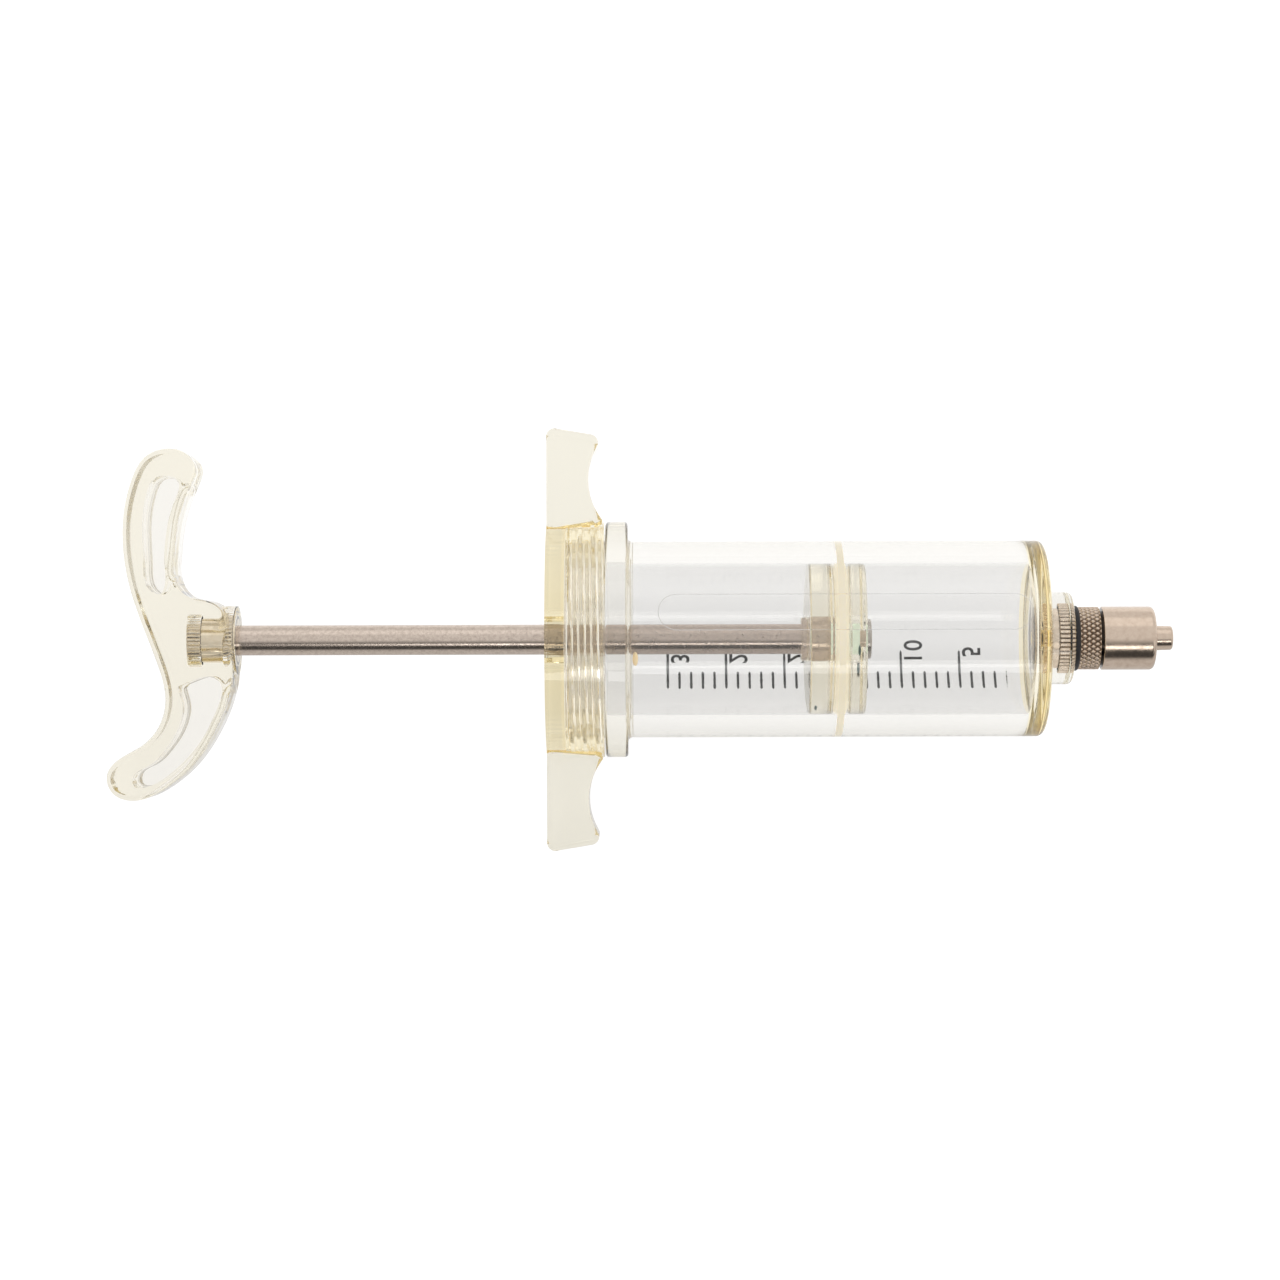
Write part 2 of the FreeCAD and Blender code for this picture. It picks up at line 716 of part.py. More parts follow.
def round_bar(kind, name, start, sizes):
    """A cylinder or cone along the axis from a station, with its sizes by field name."""
    bar = doc.addObject(kind, name)
    for field, length in sizes.items():
        setattr(bar, field, length.number)
        bar.setExpression(field, length.formula)
    bar.Placement = FreeCAD.Placement(Vector(start.number, 0, 0), Rotation(Vector(0, 1, 0), 90))
    bar.setExpression("Placement.Base.x", start.formula)
    return bar


def make_handle():
    """The moulded S-shaped handle: a pocket on both faces of each limb, and the hub round its insert."""
    half, web = size("grip_thickness") / 2, size("web_thickness") / 2
    grip = slab("grip_slab", flat_face("grip_outline", LIMBS), half, -half)
    rims = [i for i, edge in enumerate(grip.Shape.Edges, start=1) if edge.BoundBox.ZLength < 0.001]
    grip = rounded("grip_rounded", grip, rims, size("grip_round"))
    hollows = []
    for name, points in (("upper_pocket", UPPER_POCKET), ("lower_pocket", LOWER_POCKET)):
        outline = flat_face(name + "_outline", points)
        hollows.append(slab(name + "_near", outline, half * 2, web))
        hollows.append(slab(name + "_far", outline, -web, -half * 2))
    grip = joined("grip_with_pockets", "Part::Cut", grip, together("pockets", hollows))
    cone = {"Radius1": size("hub_root_radius"), "Radius2": size("hub_radius"), "Height": size("hub_length")}
    hub = round_bar("Part::Cone", "hub", hub_face - size("hub_length"), cone)
    grip = joined("grip_with_hub", "Part::Fuse", grip, hub)
    bands = []
    for i in range(0, len(socket_cavity), 2):
        (start, radius), (end, _) = socket_cavity[i:i + 2]
        band = {"Radius": radius, "Height": end - start}
        bands.append(round_bar("Part::Cylinder", f"socket_band_{i // 2 + 1}", start, band))
    return joined("grip_with_socket", "Part::Cut", grip, together("socket_space", bands))


make_barrel()
make_nose_insert()
make_gasket()
make_luer_fitting()
make_grip_cap()
make_piston()
make_rod()
make_handle_insert()
seat(make_handle(), "handle")

doc.recompute()
NODES = (
    "barrel",
    "nose_insert",
    "nose_gasket",
    "luer_lock_fitting",
    "grip_cap",
    "piston_rear",
    "piston_front",
    "seal_ring",
    "piston_bush",
    "piston_nut",
    "plunger_rod",
    "handle_insert",
    "handle",
)
for item in doc.Objects:
    if "Invalid" in item.State or "Error" in item.State:
        raise RuntimeError(f"{item.Label} was not built: {item.State}")
os.makedirs("parts", exist_ok=True)
for label in NODES:
    piece = doc.getObjectsByLabel(label)[0]
    if piece.Shape.isNull() or not piece.Shape.isValid():
        raise RuntimeError(f"{label} has no valid shape")
    piece.Shape.exportStep(f"parts/{label}.step")
    print(label, round(piece.Shape.Volume, 1), len(piece.Shape.Solids), piece.Shape.BoundBox)
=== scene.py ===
"""A reusable clear-plastic syringe with a metal luer lock, dressed round its CAD frame."""

import logging
import math
from dataclasses import dataclass
from enum import Enum
from typing import Callable, Optional, Sequence, Union

import bmesh
import bpy
import numpy as np
from mathutils import Matrix, Vector


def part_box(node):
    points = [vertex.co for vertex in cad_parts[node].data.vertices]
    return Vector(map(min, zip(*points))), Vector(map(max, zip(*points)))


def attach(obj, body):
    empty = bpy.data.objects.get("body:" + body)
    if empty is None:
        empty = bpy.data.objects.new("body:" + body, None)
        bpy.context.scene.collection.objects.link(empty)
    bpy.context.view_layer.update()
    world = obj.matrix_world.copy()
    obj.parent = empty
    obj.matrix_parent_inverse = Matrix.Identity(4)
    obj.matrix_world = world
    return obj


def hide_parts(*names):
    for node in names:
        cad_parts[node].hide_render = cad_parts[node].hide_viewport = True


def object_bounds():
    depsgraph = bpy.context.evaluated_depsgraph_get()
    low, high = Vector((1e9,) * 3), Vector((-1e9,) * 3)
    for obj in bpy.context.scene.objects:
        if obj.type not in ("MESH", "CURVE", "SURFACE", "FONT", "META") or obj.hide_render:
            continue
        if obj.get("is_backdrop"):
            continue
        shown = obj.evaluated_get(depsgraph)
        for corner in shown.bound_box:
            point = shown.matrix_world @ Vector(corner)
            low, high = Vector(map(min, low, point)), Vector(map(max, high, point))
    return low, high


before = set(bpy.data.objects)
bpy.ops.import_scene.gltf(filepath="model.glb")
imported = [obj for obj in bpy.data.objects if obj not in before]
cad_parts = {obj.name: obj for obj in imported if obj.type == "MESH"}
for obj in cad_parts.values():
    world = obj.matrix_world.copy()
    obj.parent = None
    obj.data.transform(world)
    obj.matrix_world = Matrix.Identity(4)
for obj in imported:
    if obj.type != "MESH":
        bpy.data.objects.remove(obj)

LOG = logging.getLogger("syringe")
MM = 0.001
TURN = 2.0 * math.pi
WHITE = (1.0, 1.0, 1.0, 1.0)
STATION_FADE_MM = 0.2
AXIS_FADE_MM = 0.25
MIX_FIRST, MIX_SECOND, MIX_RESULT = 6, 7, 2  # The colour sockets of a Mix node.
HALF_STEP = 0.5  # Tells apart two whole numbers of bounces.
SIDE_MARGIN = 0.05  # From the end of a straight side to its extra point, in millimetres.
SHORTEST_SIDE = 6 * SIDE_MARGIN
ARC_STEP = 9.0  # Largest step of a rounding's arc, in degrees.
RIDGE_STEPS = 8  # Steps of the turn for each ridge of a knurl.
MOULDED_CREASE = 25.0  # Edges of a CAD copy that are sharper than this many degrees stay sharp.
HAIR = 0.01  # A length that makes no difference to the shape, in millimetres.
ON_SURFACE = 0.05  # How near to a radius a point counts as lying on it, in millimetres.

Corner = tuple[float, float, float]
Step = Union[float, tuple[float, float], Corner]
Grid = np.ndarray
Relief = Callable[[Grid, Grid, Grid], Grid]
Piece = bpy.types.Object
Material = bpy.types.Material
Tree = bpy.types.NodeTree
Socket = bpy.types.NodeSocket


# Colours and shader nodes

def linear(hex_colour: str) -> tuple[float, float, float, float]:
    """Turns an sRGB hex colour into the linear colour that a shader takes.

    Args:
        hex_colour: six hex digits after a hash.

    Returns:
        Linear red, green, blue and a full alpha.
    """
    digits = hex_colour.lstrip("#")
    shares = [int(digits[i:i + 2], 16) / 255 for i in (0, 2, 4)]
    red, green, blue = (s / 12.92 if s <= 0.04045 else ((s + 0.055) / 1.055) ** 2.4 for s in shares)
    return red, green, blue, 1.0


def add_node(tree: Tree, kind: str, inputs: Optional[dict] = None, **settings) -> bpy.types.Node:
    """Adds a node, sets its properties and fills or links its inputs.

    Args:
        tree: the node tree that gets the node.
        kind: the node's type name, without the ShaderNode before it.
        inputs: socket name or number to a value, or to the output socket that feeds it.
        settings: the node's own properties.

    Returns:
        The new node.
    """
    node = tree.nodes.new("ShaderNode" + kind)
    for name, value in settings.items():
        setattr(node, name, value)
    for name, value in (inputs or {}).items():
        if isinstance(value, Socket):
            tree.links.new(value, node.inputs[name])
        else:
            node.inputs[name].default_value = value
    return node


def feed(tree: Tree, kind: str, inputs: Optional[dict] = None, **settings) -> Socket:
    """Adds a node as add_node does, and gives its first output."""
    return add_node(tree, kind, inputs, **settings).outputs[0]


def linked(name: str, data: bpy.types.ID) -> Piece:
    """Makes an object of some data and links it to the scene."""
    piece = bpy.data.objects.new(name, data)
    bpy.context.scene.collection.objects.link(piece)
    return piece


def blank_material(name: str) -> tuple[Material, Tree]:
    """Makes a material without any node."""
    material = bpy.data.materials.new(name)
    material.use_nodes = True
    material.node_tree.nodes.clear()
    return material, material.node_tree


def object_place(tree: Tree) -> Socket:
    """The Object coordinates, which are metres in the row's frame."""
    return add_node(tree, "TexCoord").outputs["Object"]


def maths(tree: Tree, operation: str, *terms: Union[Socket, float], clamp: bool = False) -> Socket:
    """One Math node on up to three terms."""
    return feed(tree, "Math", dict(enumerate(terms)), operation=operation, use_clamp=clamp)


def ranged(tree: Tree, value: Socket, low: float, high: float, at_low: float = 0.0, at_high: float = 1.0,
           kind: str = "LINEAR") -> Socket:
    """Carries low to high, which may fall, over to at_low to at_high, and holds the ends' values beyond."""
    inputs = {"Value": value, "From Min": low, "From Max": high, "To Min": at_low, "To Max": at_high}
    return feed(tree, "MapRange", inputs, interpolation_type=kind)


def noise(tree: Tree, place: Socket, size_mm: float, detail: float, roughness: float = 0.5) -> Socket:
    """Noise whose clouds are about that many millimetres across."""
    inputs = {"Vector": place, "Scale": 1 / (size_mm * MM), "Detail": detail, "Roughness": roughness}
    return feed(tree, "TexNoise", inputs)


def bumped(tree: Tree, height: Socket, depth_mm: float) -> Socket:
    """The normal of a surface whose height varies over that depth."""
    return feed(tree, "Bump", {"Height": height, "Distance": depth_mm * MM, "Strength": 1.0})


def blend(tree: Tree, share: Socket, first: Union[Socket, str], second: str) -> Socket:
    """Goes from one colour, as hex digits or a socket, to another as share goes from 0 to 1."""
    start = linear(first) if isinstance(first, str) else first
    inputs = {"Factor": share, MIX_FIRST: start, MIX_SECOND: linear(second)}
    return add_node(tree, "Mix", inputs, data_type="RGBA").outputs[MIX_RESULT]


def zone_share(tree: Tree, place: Socket, start: float, end: float, radius: float) -> Socket:
    """1 between two stations along the syringe and within a distance from its axis, and 0 elsewhere.

    It falls off outside the stations over STATION_FADE_MM, and inside the distance over AXIS_FADE_MM.

    Args:
        tree: the material's nodes.
        place: the Object coordinates.
        start: lower station in millimetres, in the row's frame.
        end: upper station in millimetres.
        radius: the distance in millimetres.

    Returns:
        The socket of the share.
    """
    middle, half = (start + end) / 2 * MM, (end - start) / 2 * MM
    station = feed(tree, "SeparateXYZ", {"Vector": place})
    off_middle = maths(tree, "ABSOLUTE", maths(tree, "SUBTRACT", station, middle))
    along = ranged(tree, off_middle, half + STATION_FADE_MM * MM, half)
    across = feed(tree, "VectorMath", {0: place, 1: (0.0, 1.0, 1.0)}, operation="MULTIPLY")
    off_axis = add_node(tree, "VectorMath", {0: across}, operation="LENGTH").outputs["Value"]
    inside = ranged(tree, off_axis, radius * MM, (radius - AXIS_FADE_MM) * MM)
    return maths(tree, "MULTIPLY", along, inside)


@dataclass(frozen=True)
class ClearPlastic:
    """Clear moulded nylon, polished by its mould, that has yellowed a little with age.

    A short way through it is nearly white and a long way, along a wall or a disc, is straw yellow,
    so its colour is an absorption in the volume. The surface itself keeps a little grey haze from years
    of handling, the same at every wall that the light crosses.
    """

    name: str
    way_mm: float
    colour_there: str
    through: str
    roughness: float
    ior: float = 1.5
    ripple_mm: float = 0.004
    ripple_size_mm: float = 14.0
    density_margin: float = 1.02
    # Painted light: a colour that the surface takes in one zone of stations, within a distance of the axis.
    glow: str = "#FFFFFF"
    glow_from_mm: float = 0.0
    glow_to_mm: float = 0.0
    glow_within_mm: float = 100.0

    def make(self) -> Material:
        """Builds the material: refracting surface, slow mould ripple, absorbing volume, and painted light in the
        surface colour where a zone is given.

        The volume loses light by Beer's law, so that after way_mm it has the colour colour_there.
        """
        material, tree = blank_material(self.name)
        place = object_place(tree)
        paints_light = self.glow_to_mm > self.glow_from_mm
        ripple = noise(tree, place, self.ripple_size_mm, detail=2.0)
        surface = feed(tree, "BsdfPrincipled", {
            "Base Color": self.glowing(tree, place) if paints_light else linear(self.through),
            "Roughness": self.roughness, "IOR": self.ior, "Transmission Weight": 1.0,
            "Normal": bumped(tree, ripple, self.ripple_mm),
        })
        way = self.way_mm * MM
        losses = [-math.log(share) / way for share in linear(self.colour_there)[:3]]
        density = max(losses) * self.density_margin
        tint = tuple(1 - loss / density for loss in losses) + (1.0,)
        volume = feed(tree, "VolumeAbsorption", {"Color": tint, "Density": density})
        add_node(tree, "OutputMaterial", {"Surface": surface, "Volume": volume})
        return material

    def glowing(self, tree: Tree, place: Socket) -> Socket:
        """Colour of the surface, with painted light in one zone: amber where light carried along a long wall comes
        out, paler where a thread scatters light.
        """
        zone = zone_share(tree, place, self.glow_from_mm, self.glow_to_mm, self.glow_within_mm)
        return blend(tree, zone, self.through, self.glow)


@dataclass(frozen=True)
class TurnedMetal:
    """Turned and plated metal: bright, with fine marks of the tool round it and a mottled tarnish."""

    name: str
    colour: str
    tarnish: str
    roughness: float = 0.22
    mottle_mm: float = 0.9
    score_mm: float = 0.12
    score_depth_mm: float = 0.004
    lengthwise: float = 1.0
    tarnish_share: float = 0.35
    tarnish_range: tuple[float, float] = (0.42, 0.72)
    dull_range: tuple[float, float] = (0.3, 0.7)
    dull_factors: tuple[float, float] = (0.8, 1.5)
    # Painted shade at the bottom of the grooves, and its zone.
    grime: str = "#000000"
    grime_from_mm: float = 0.0
    grime_to_mm: float = 0.0
    grime_below_mm: float = 0.0

    def make(self) -> Material:
        """Builds the material: colour mottled with tarnish, and scores stretched the way the tool ran.

        Painted shade darkens the bottom of the grooves, where a zone is given for it.
        """
        material, tree = blank_material(self.name)
        place = object_place(tree)
        mottle = noise(tree, place, self.mottle_mm, detail=4.0, roughness=0.65)
        share = ranged(tree, mottle, *self.tarnish_range, 0.0, self.tarnish_share)
        colour = blend(tree, share, self.colour, self.tarnish)
        # Painted shade: a dark colour on what lies below a radius, between two stations.
        if self.grime_below_mm > 0:
            deep = zone_share(tree, place, self.grime_from_mm, self.grime_to_mm, self.grime_below_mm)
            colour = blend(tree, deep, colour, self.grime)
        along = feed(tree, "Mapping", {"Vector": place, "Scale": (self.lengthwise, 1.0, 1.0)})
        score = noise(tree, along, self.score_mm, detail=2.0)
        smooth, dull = (self.roughness * factor for factor in self.dull_factors)
        surface = feed(tree, "BsdfPrincipled", {
            "Base Color": colour, "Metallic": 1.0, "Roughness": ranged(tree, mottle, *self.dull_range, smooth, dull),
            "Normal": bumped(tree, score, self.score_depth_mm),
        })
        add_node(tree, "OutputMaterial", {"Surface": surface})
        return material


@dataclass(frozen=True)
class SoftRubber:
    """Moulded rubber, solid black or translucent cream, with a faint bloom.

    Where it is translucent, a small emission stands for the light that wanders about inside it.
    """

    name: str
    colour: str
    bloom: str
    roughness: float = 0.5
    ior: float = 1.45
    clear: float = 0.0
    lift: float = 0.0
    grain_mm: float = 0.5
    grain_depth_mm: float = 0.01

    def make(self) -> Material:
        """Builds the material: a cloudy colour, with light spread through it where it is translucent."""
        material, tree = blank_material(self.name)
        cloud = noise(tree, object_place(tree), self.grain_mm, detail=3.0)
        colour = blend(tree, cloud, self.colour, self.bloom)
        surface = feed(tree, "BsdfPrincipled", {
            "Base Color": colour, "Roughness": self.roughness, "IOR": self.ior,
            "Normal": bumped(tree, cloud, self.grain_depth_mm),
        })
        if self.clear > 0:
            spread = feed(tree, "BsdfTranslucent", {"Color": colour})
            both = feed(tree, "MixShader", {0: self.clear, 1: surface, 2: spread})
            inner = feed(tree, "Emission", {"Color": colour, "Strength": self.lift})
            surface = feed(tree, "AddShader", {0: both, 1: inner})
        add_node(tree, "OutputMaterial", {"Surface": surface})
        return material


@dataclass(frozen=True)
class PrintedInk:
    """Screen-printed dark ink, worn thin in places."""

    name: str
    colour: str
    worn: str
    roughness: float = 0.7
    ior: float = 1.45
    grain_mm: float = 0.25
    worn_range: tuple[float, float] = (0.5, 0.75)

    def make(self) -> Material:
        """Builds the material: matt ink that is greyer where it has worn."""
        material, tree = blank_material(self.name)
        wear = noise(tree, object_place(tree), self.grain_mm, detail=3.0, roughness=0.7)
        colour = blend(tree, ranged(tree, wear, *self.worn_range), self.colour, self.worn)
        surface = feed(tree, "BsdfPrincipled", {"Base Color": colour, "Roughness": self.roughness, "IOR": self.ior})
        add_node(tree, "OutputMaterial", {"Surface": surface})
        return material


class Finish(Enum):
    """The finishes of the syringe."""

    # Painted light: an amber band on the nose wall, where light carried along the tube's wall comes out.
    BARREL = ClearPlastic("clear_nylon_barrel", 32.0, "#F5F0E0", through="#F1F1F2", roughness=0.0,
                          ripple_mm=0.0015, glow="#FFF0C4", glow_from_mm=-23.2, glow_to_mm=-21.6)
    # Painted light: a paler zone round the threaded collar, for light that the thread scatters.
    CAP = ClearPlastic("clear_nylon_cap", 34.0, "#F9EECC", through="#EAEAEA", roughness=0.0,
                       glow="#F8F4EA", glow_from_mm=-100.9, glow_to_mm=-94.2, glow_within_mm=20.0)
    HANDLE = ClearPlastic("clear_nylon_handle", 34.0, "#F5EDD0", through="#ECEAE7", roughness=0.0)
    PISTON = ClearPlastic("clear_nylon_piston", 25.0, "#FAF5E4", through="#FFFFFF", roughness=0.06)
    CORE = SoftRubber("green_tinted_acetal_core", "#F4FAF0", "#EBF4E9", roughness=0.3, clear=0.5, lift=0.35)
    # Painted shade in the valleys of the fitting's diamond knurl and in its groove.
    NICKEL = TurnedMetal("nickel_plated_brass", "#D7C4B2", "#B8A08C", roughness=0.17, score_depth_mm=0.0015,
                         grime="#2E2721", grime_from_mm=-15.7, grime_to_mm=-11.85, grime_below_mm=5.1)
    # Painted shade in the valleys of the insert's front knurl band, inside the clear nose.
    INSERT = TurnedMetal("plated_brass_insert", "#E9DAC8", "#C4AA92", roughness=0.25,
                         grime="#5A4A3C", grime_from_mm=-19.1, grime_to_mm=-17.3, grime_below_mm=3.8)
    SOCKET = TurnedMetal("plated_brass_socket", "#EADFCB", "#C6AF88", roughness=0.12, score_depth_mm=0.0015)
    ROD = TurnedMetal("drawn_steel_rod", "#D4C5B8", "#7C6C62", roughness=0.2, mottle_mm=0.6, score_mm=0.16,
                      lengthwise=0.25)
    NUT = TurnedMetal("turned_steel_nut", "#CFC8BE", "#9A9086", roughness=0.25)
    WASHER = SoftRubber("black_nitrile_washer", "#0E0E0F", "#2A2A2B")
    SEAL = SoftRubber("translucent_silicone_seal", "#FBF6E8", "#F8F0DA", roughness=0.3, clear=0.5, lift=0.36)
    INK = PrintedInk("dark_grey_scale_ink", "#2C2E32", "#5F6266")
    GLUE = SoftRubber("dried_amber_glue", "#F6E6C6", "#EDD8AE", roughness=0.3, clear=0.5, lift=0.2)
    RESIDUE = PrintedInk("green_grey_residue", "#4F6A60", "#9FB0A6")

    def on(self, piece: Piece) -> None:
        """Gives a piece this finish, making the material the first time."""
        material = bpy.data.materials.get(self.value.name) or self.value.make()
        piece.data.materials.clear()
        piece.data.materials.append(material)


# Meshes

def mesh_of(name: str, points: Grid, crease: float) -> Piece:
    """Makes a closed surface from a grid of points that joins up with itself both ways.

    The first index runs round the syringe or along a path; the second runs round the section.

    Args:
        name: the object's name.
        points: array of shape (rows, columns, 3), in millimetres in the row's frame.
        crease: edges sharper than this many degrees are drawn sharp.

    Returns:
        The object, linked to the scene, with its place in its mesh.
    """
    rows, columns = points.shape[:2]
    near = np.arange(rows * columns).reshape(rows, columns)
    far = np.roll(near, -1, axis=0)
    quads = np.stack([near, np.roll(near, -1, axis=1), np.roll(far, -1, axis=1), far], axis=-1).reshape(-1, 4)
    mesh = bpy.data.meshes.new(name)
    mesh.vertices.add(points.size // 3)
    mesh.vertices.foreach_set("co", (points * MM).astype(np.float32).ravel())
    mesh.loops.add(quads.size)
    mesh.loops.foreach_set("vertex_index", quads.astype(np.int32).ravel())
    mesh.polygons.add(len(quads))
    mesh.polygons.foreach_set("loop_start", np.arange(0, quads.size, 4, dtype=np.int32))
    mesh.update(calc_edges=True)
    return finished(name, mesh, crease)


def finished(name: str, mesh: bpy.types.Mesh, crease: float) -> Piece:
    """Closes seams and poles of a mesh, turns its faces outwards and shades it smooth up to its creases.

    Args:
        name: the name of the new object.
        mesh: the mesh, which is changed.
        crease: edges sharper than this many degrees are drawn sharp.

    Returns:
        The new object.
    """
    work = bmesh.new()
    work.from_mesh(mesh)
    bmesh.ops.remove_doubles(work, verts=work.verts, dist=1e-7)
    bmesh.ops.dissolve_degenerate(work, edges=work.edges, dist=1e-8)
    bmesh.ops.delete(work, geom=[edge for edge in work.edges if not edge.link_faces], context="EDGES")
    bmesh.ops.recalc_face_normals(work, faces=work.faces)
    work.to_mesh(mesh)
    work.free()
    mesh.polygons.foreach_set("use_smooth", np.ones(len(mesh.polygons), bool))
    mesh.set_sharp_from_angle(angle=math.radians(crease))
    return linked(name, mesh)


def stepped(station: float, radius: float, *steps: Step) -> list[Corner]:
    """Corners of an outline that goes by turns across, to a new radius, and along, to a new station.

    Args:
        station: where it starts.
        radius: its radius there.
        steps: the next radius, then the next station and so on. A pair adds the rounding of the
            corner that is reached, and a whole corner ends a slanting side and starts afresh.

    Returns:
        (station, radius, rounding) for each corner.
    """
    corners, across = [(station, radius, 0.0)], True
    for step in steps:
        values = step if isinstance(step, tuple) else (step, 0.0)
        if len(values) == 3:
            station, radius, rounding = values
        elif across:
            radius, rounding = values
        else:
            station, rounding = values
        across = len(values) == 3 or not across
        corners.append((station, radius, rounding))
    return corners


def profile(corners: Sequence[Corner], closed: bool = True) -> Grid:
    """Rounds the corners of an outline in the plane of station and radius.

    Each corner's circle touches both of its sides, at radius / tan(half the angle between them) from
    the corner, and its arc is cut into steps. A straight side longer than a few tenths gets a point
    close to both of its ends, so that the shading of a round stops there.

    Args:
        corners: (station, radius, rounding) in order, in millimetres.
        closed: whether the last corner joins the first.

    Returns:
        Array of (station, radius).
    """
    spots = np.array([c[:2] for c in corners], float)
    arcs = []
    for i, (_, _, rounding) in enumerate(corners):
        here = spots[i]
        if rounding <= 0 or (not closed and i in (0, len(corners) - 1)):
            arcs.append(here[None, :])
            continue
        before = spots[i - 1] - here
        after = spots[(i + 1) % len(spots)] - here
        before, after = before / np.linalg.norm(before), after / np.linalg.norm(after)
        angle = math.acos(float(np.clip(before @ after, -1, 1)))
        reach = rounding / math.tan(angle / 2)
        middle = before + after
        centre = here + middle / np.linalg.norm(middle) * rounding / math.sin(angle / 2)
        start, end = here + before * reach - centre, here + after * reach - centre
        sweep = math.pi - angle
        count = max(2, math.ceil(math.degrees(sweep) / ARC_STEP)) + 1
        t = np.linspace(0, 1, count)[:, None]
        arcs.append(centre + (np.sin((1 - t) * sweep) * start + np.sin(t * sweep) * end) / math.sin(sweep))
    points = []
    for i, arc in enumerate(arcs):
        points.append(arc)
        if not closed and i == len(arcs) - 1:
            break
        start, end = arc[-1], arcs[(i + 1) % len(arcs)][0]
        length = np.linalg.norm(end - start)
        if length > SHORTEST_SIDE:
            way = (end - start) / length * SIDE_MARGIN
            points.append(np.array([start + way, end - way]))
    return np.concatenate(points)


def dense(loop: Grid, low: float, high: float, radius_over: float, step: float) -> Grid:
    """Adds points along the sides of a loop that run lengthwise between two stations.

    Args:
        loop: (station, radius) points of a closed loop.
        low: lowest station of the stretch.
        high: highest station of the stretch.
        radius_over: only sides farther out than this are cut up.
        step: distance between the new points.

    Returns:
        The loop with the points added.
    """
    parts = []
    for start, end in zip(loop, np.roll(loop, -1, axis=0)):
        inside = min(start[0], end[0]) >= low - 1e-6 and max(start[0], end[0]) <= high + 1e-6
        if inside and min(start[1], end[1]) >= radius_over and abs(end[0] - start[0]) > step:
            count = math.ceil(abs(end[0] - start[0]) / step)
            parts.append(start + (end - start) * np.arange(count)[:, None] / count)
        else:
            parts.append(start[None, :])
    return np.concatenate(parts)


def lathe(name: str, loop: Grid, segments: int, relief: Optional[Relief] = None,
          crease: float = 28.0) -> Piece:
    """Turns a profile about the syringe's axis.

    A point (station, radius) goes to (station, radius cos a, radius sin a) for each angle a. A
    profile may also run from the axis to the axis, where its points merge.

    Args:
        name: the object's name.
        loop: (station, radius) points.
        segments: steps of the turn.
        relief: height to add to the radius, from station, radius and angle, for a thread or a knurl.
        crease: edges sharper than this many degrees are drawn sharp.

    Returns:
        The turned object.
    """
    angle = np.arange(segments)[:, None] * TURN / segments
    station = np.broadcast_to(loop[:, 0], (segments, len(loop)))
    radius = np.broadcast_to(loop[:, 1], (segments, len(loop)))
    if relief is not None:
        radius = radius + relief(station, radius, np.broadcast_to(angle, station.shape))
    points = np.stack([station, radius * np.cos(angle), radius * np.sin(angle)], axis=-1)
    return mesh_of(name, points, crease)


def knurled(name: str, loop: Grid, ridges: int, depth: float, radius_over: float) -> Piece:
    """Turns a profile with a straight, sharp-bottomed knurl on what lies farther out than a radius."""
    def groove(_: Grid, radius: Grid, angle: Grid) -> Grid:
        """Height of the grooves, which is below nothing."""
        wave = np.abs(np.sin(ridges * angle / 2))
        return -depth * (1 - wave) * (radius > radius_over)

    return lathe(name, loop, ridges * RIDGE_STEPS, groove, crease=50)


def window(value: Grid, low: float, high: float, fade: float) -> Grid:
    """1 between low and high, falling to 0 over fade inside both ends."""
    return np.clip(np.minimum(value - low, high - value) / fade, 0, 1)


def copy_of(node: str, name: str) -> Piece:
    """Takes a merged, smoothly shaded copy of a CAD node, with its normals weighted by face area."""
    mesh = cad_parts[node].data.copy()
    mesh.name = name
    mesh.materials.clear()
    return weighted(finished(name, mesh, MOULDED_CREASE))


def weighted(piece: Piece) -> Piece:
    """Weights a piece's normals by face area, so that flat faces stay flat beside rounds."""
    modifier = piece.modifiers.new("weighted_normals", "WEIGHTED_NORMAL")
    modifier.keep_sharp = True
    modifier.weight = 100
    return piece


def settle(piece: Piece, body: str, slot: str, finish: Finish, *nodes: str) -> None:
    """Gives a piece its finish and its body, and hides the CAD nodes it stands for."""
    finish.on(piece)
    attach(piece, body)
    if nodes:
        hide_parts(*nodes)
    LOG.info("%s: %d faces on %s", piece.name, len(piece.data.polygons), body)


def span(node: str) -> tuple[float, float]:
    """First and last station of a CAD node, in millimetres."""
    low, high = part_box(node)
    return low.x / MM, high.x / MM


# The barrel with what is screwed to it; all lengths are in millimetres

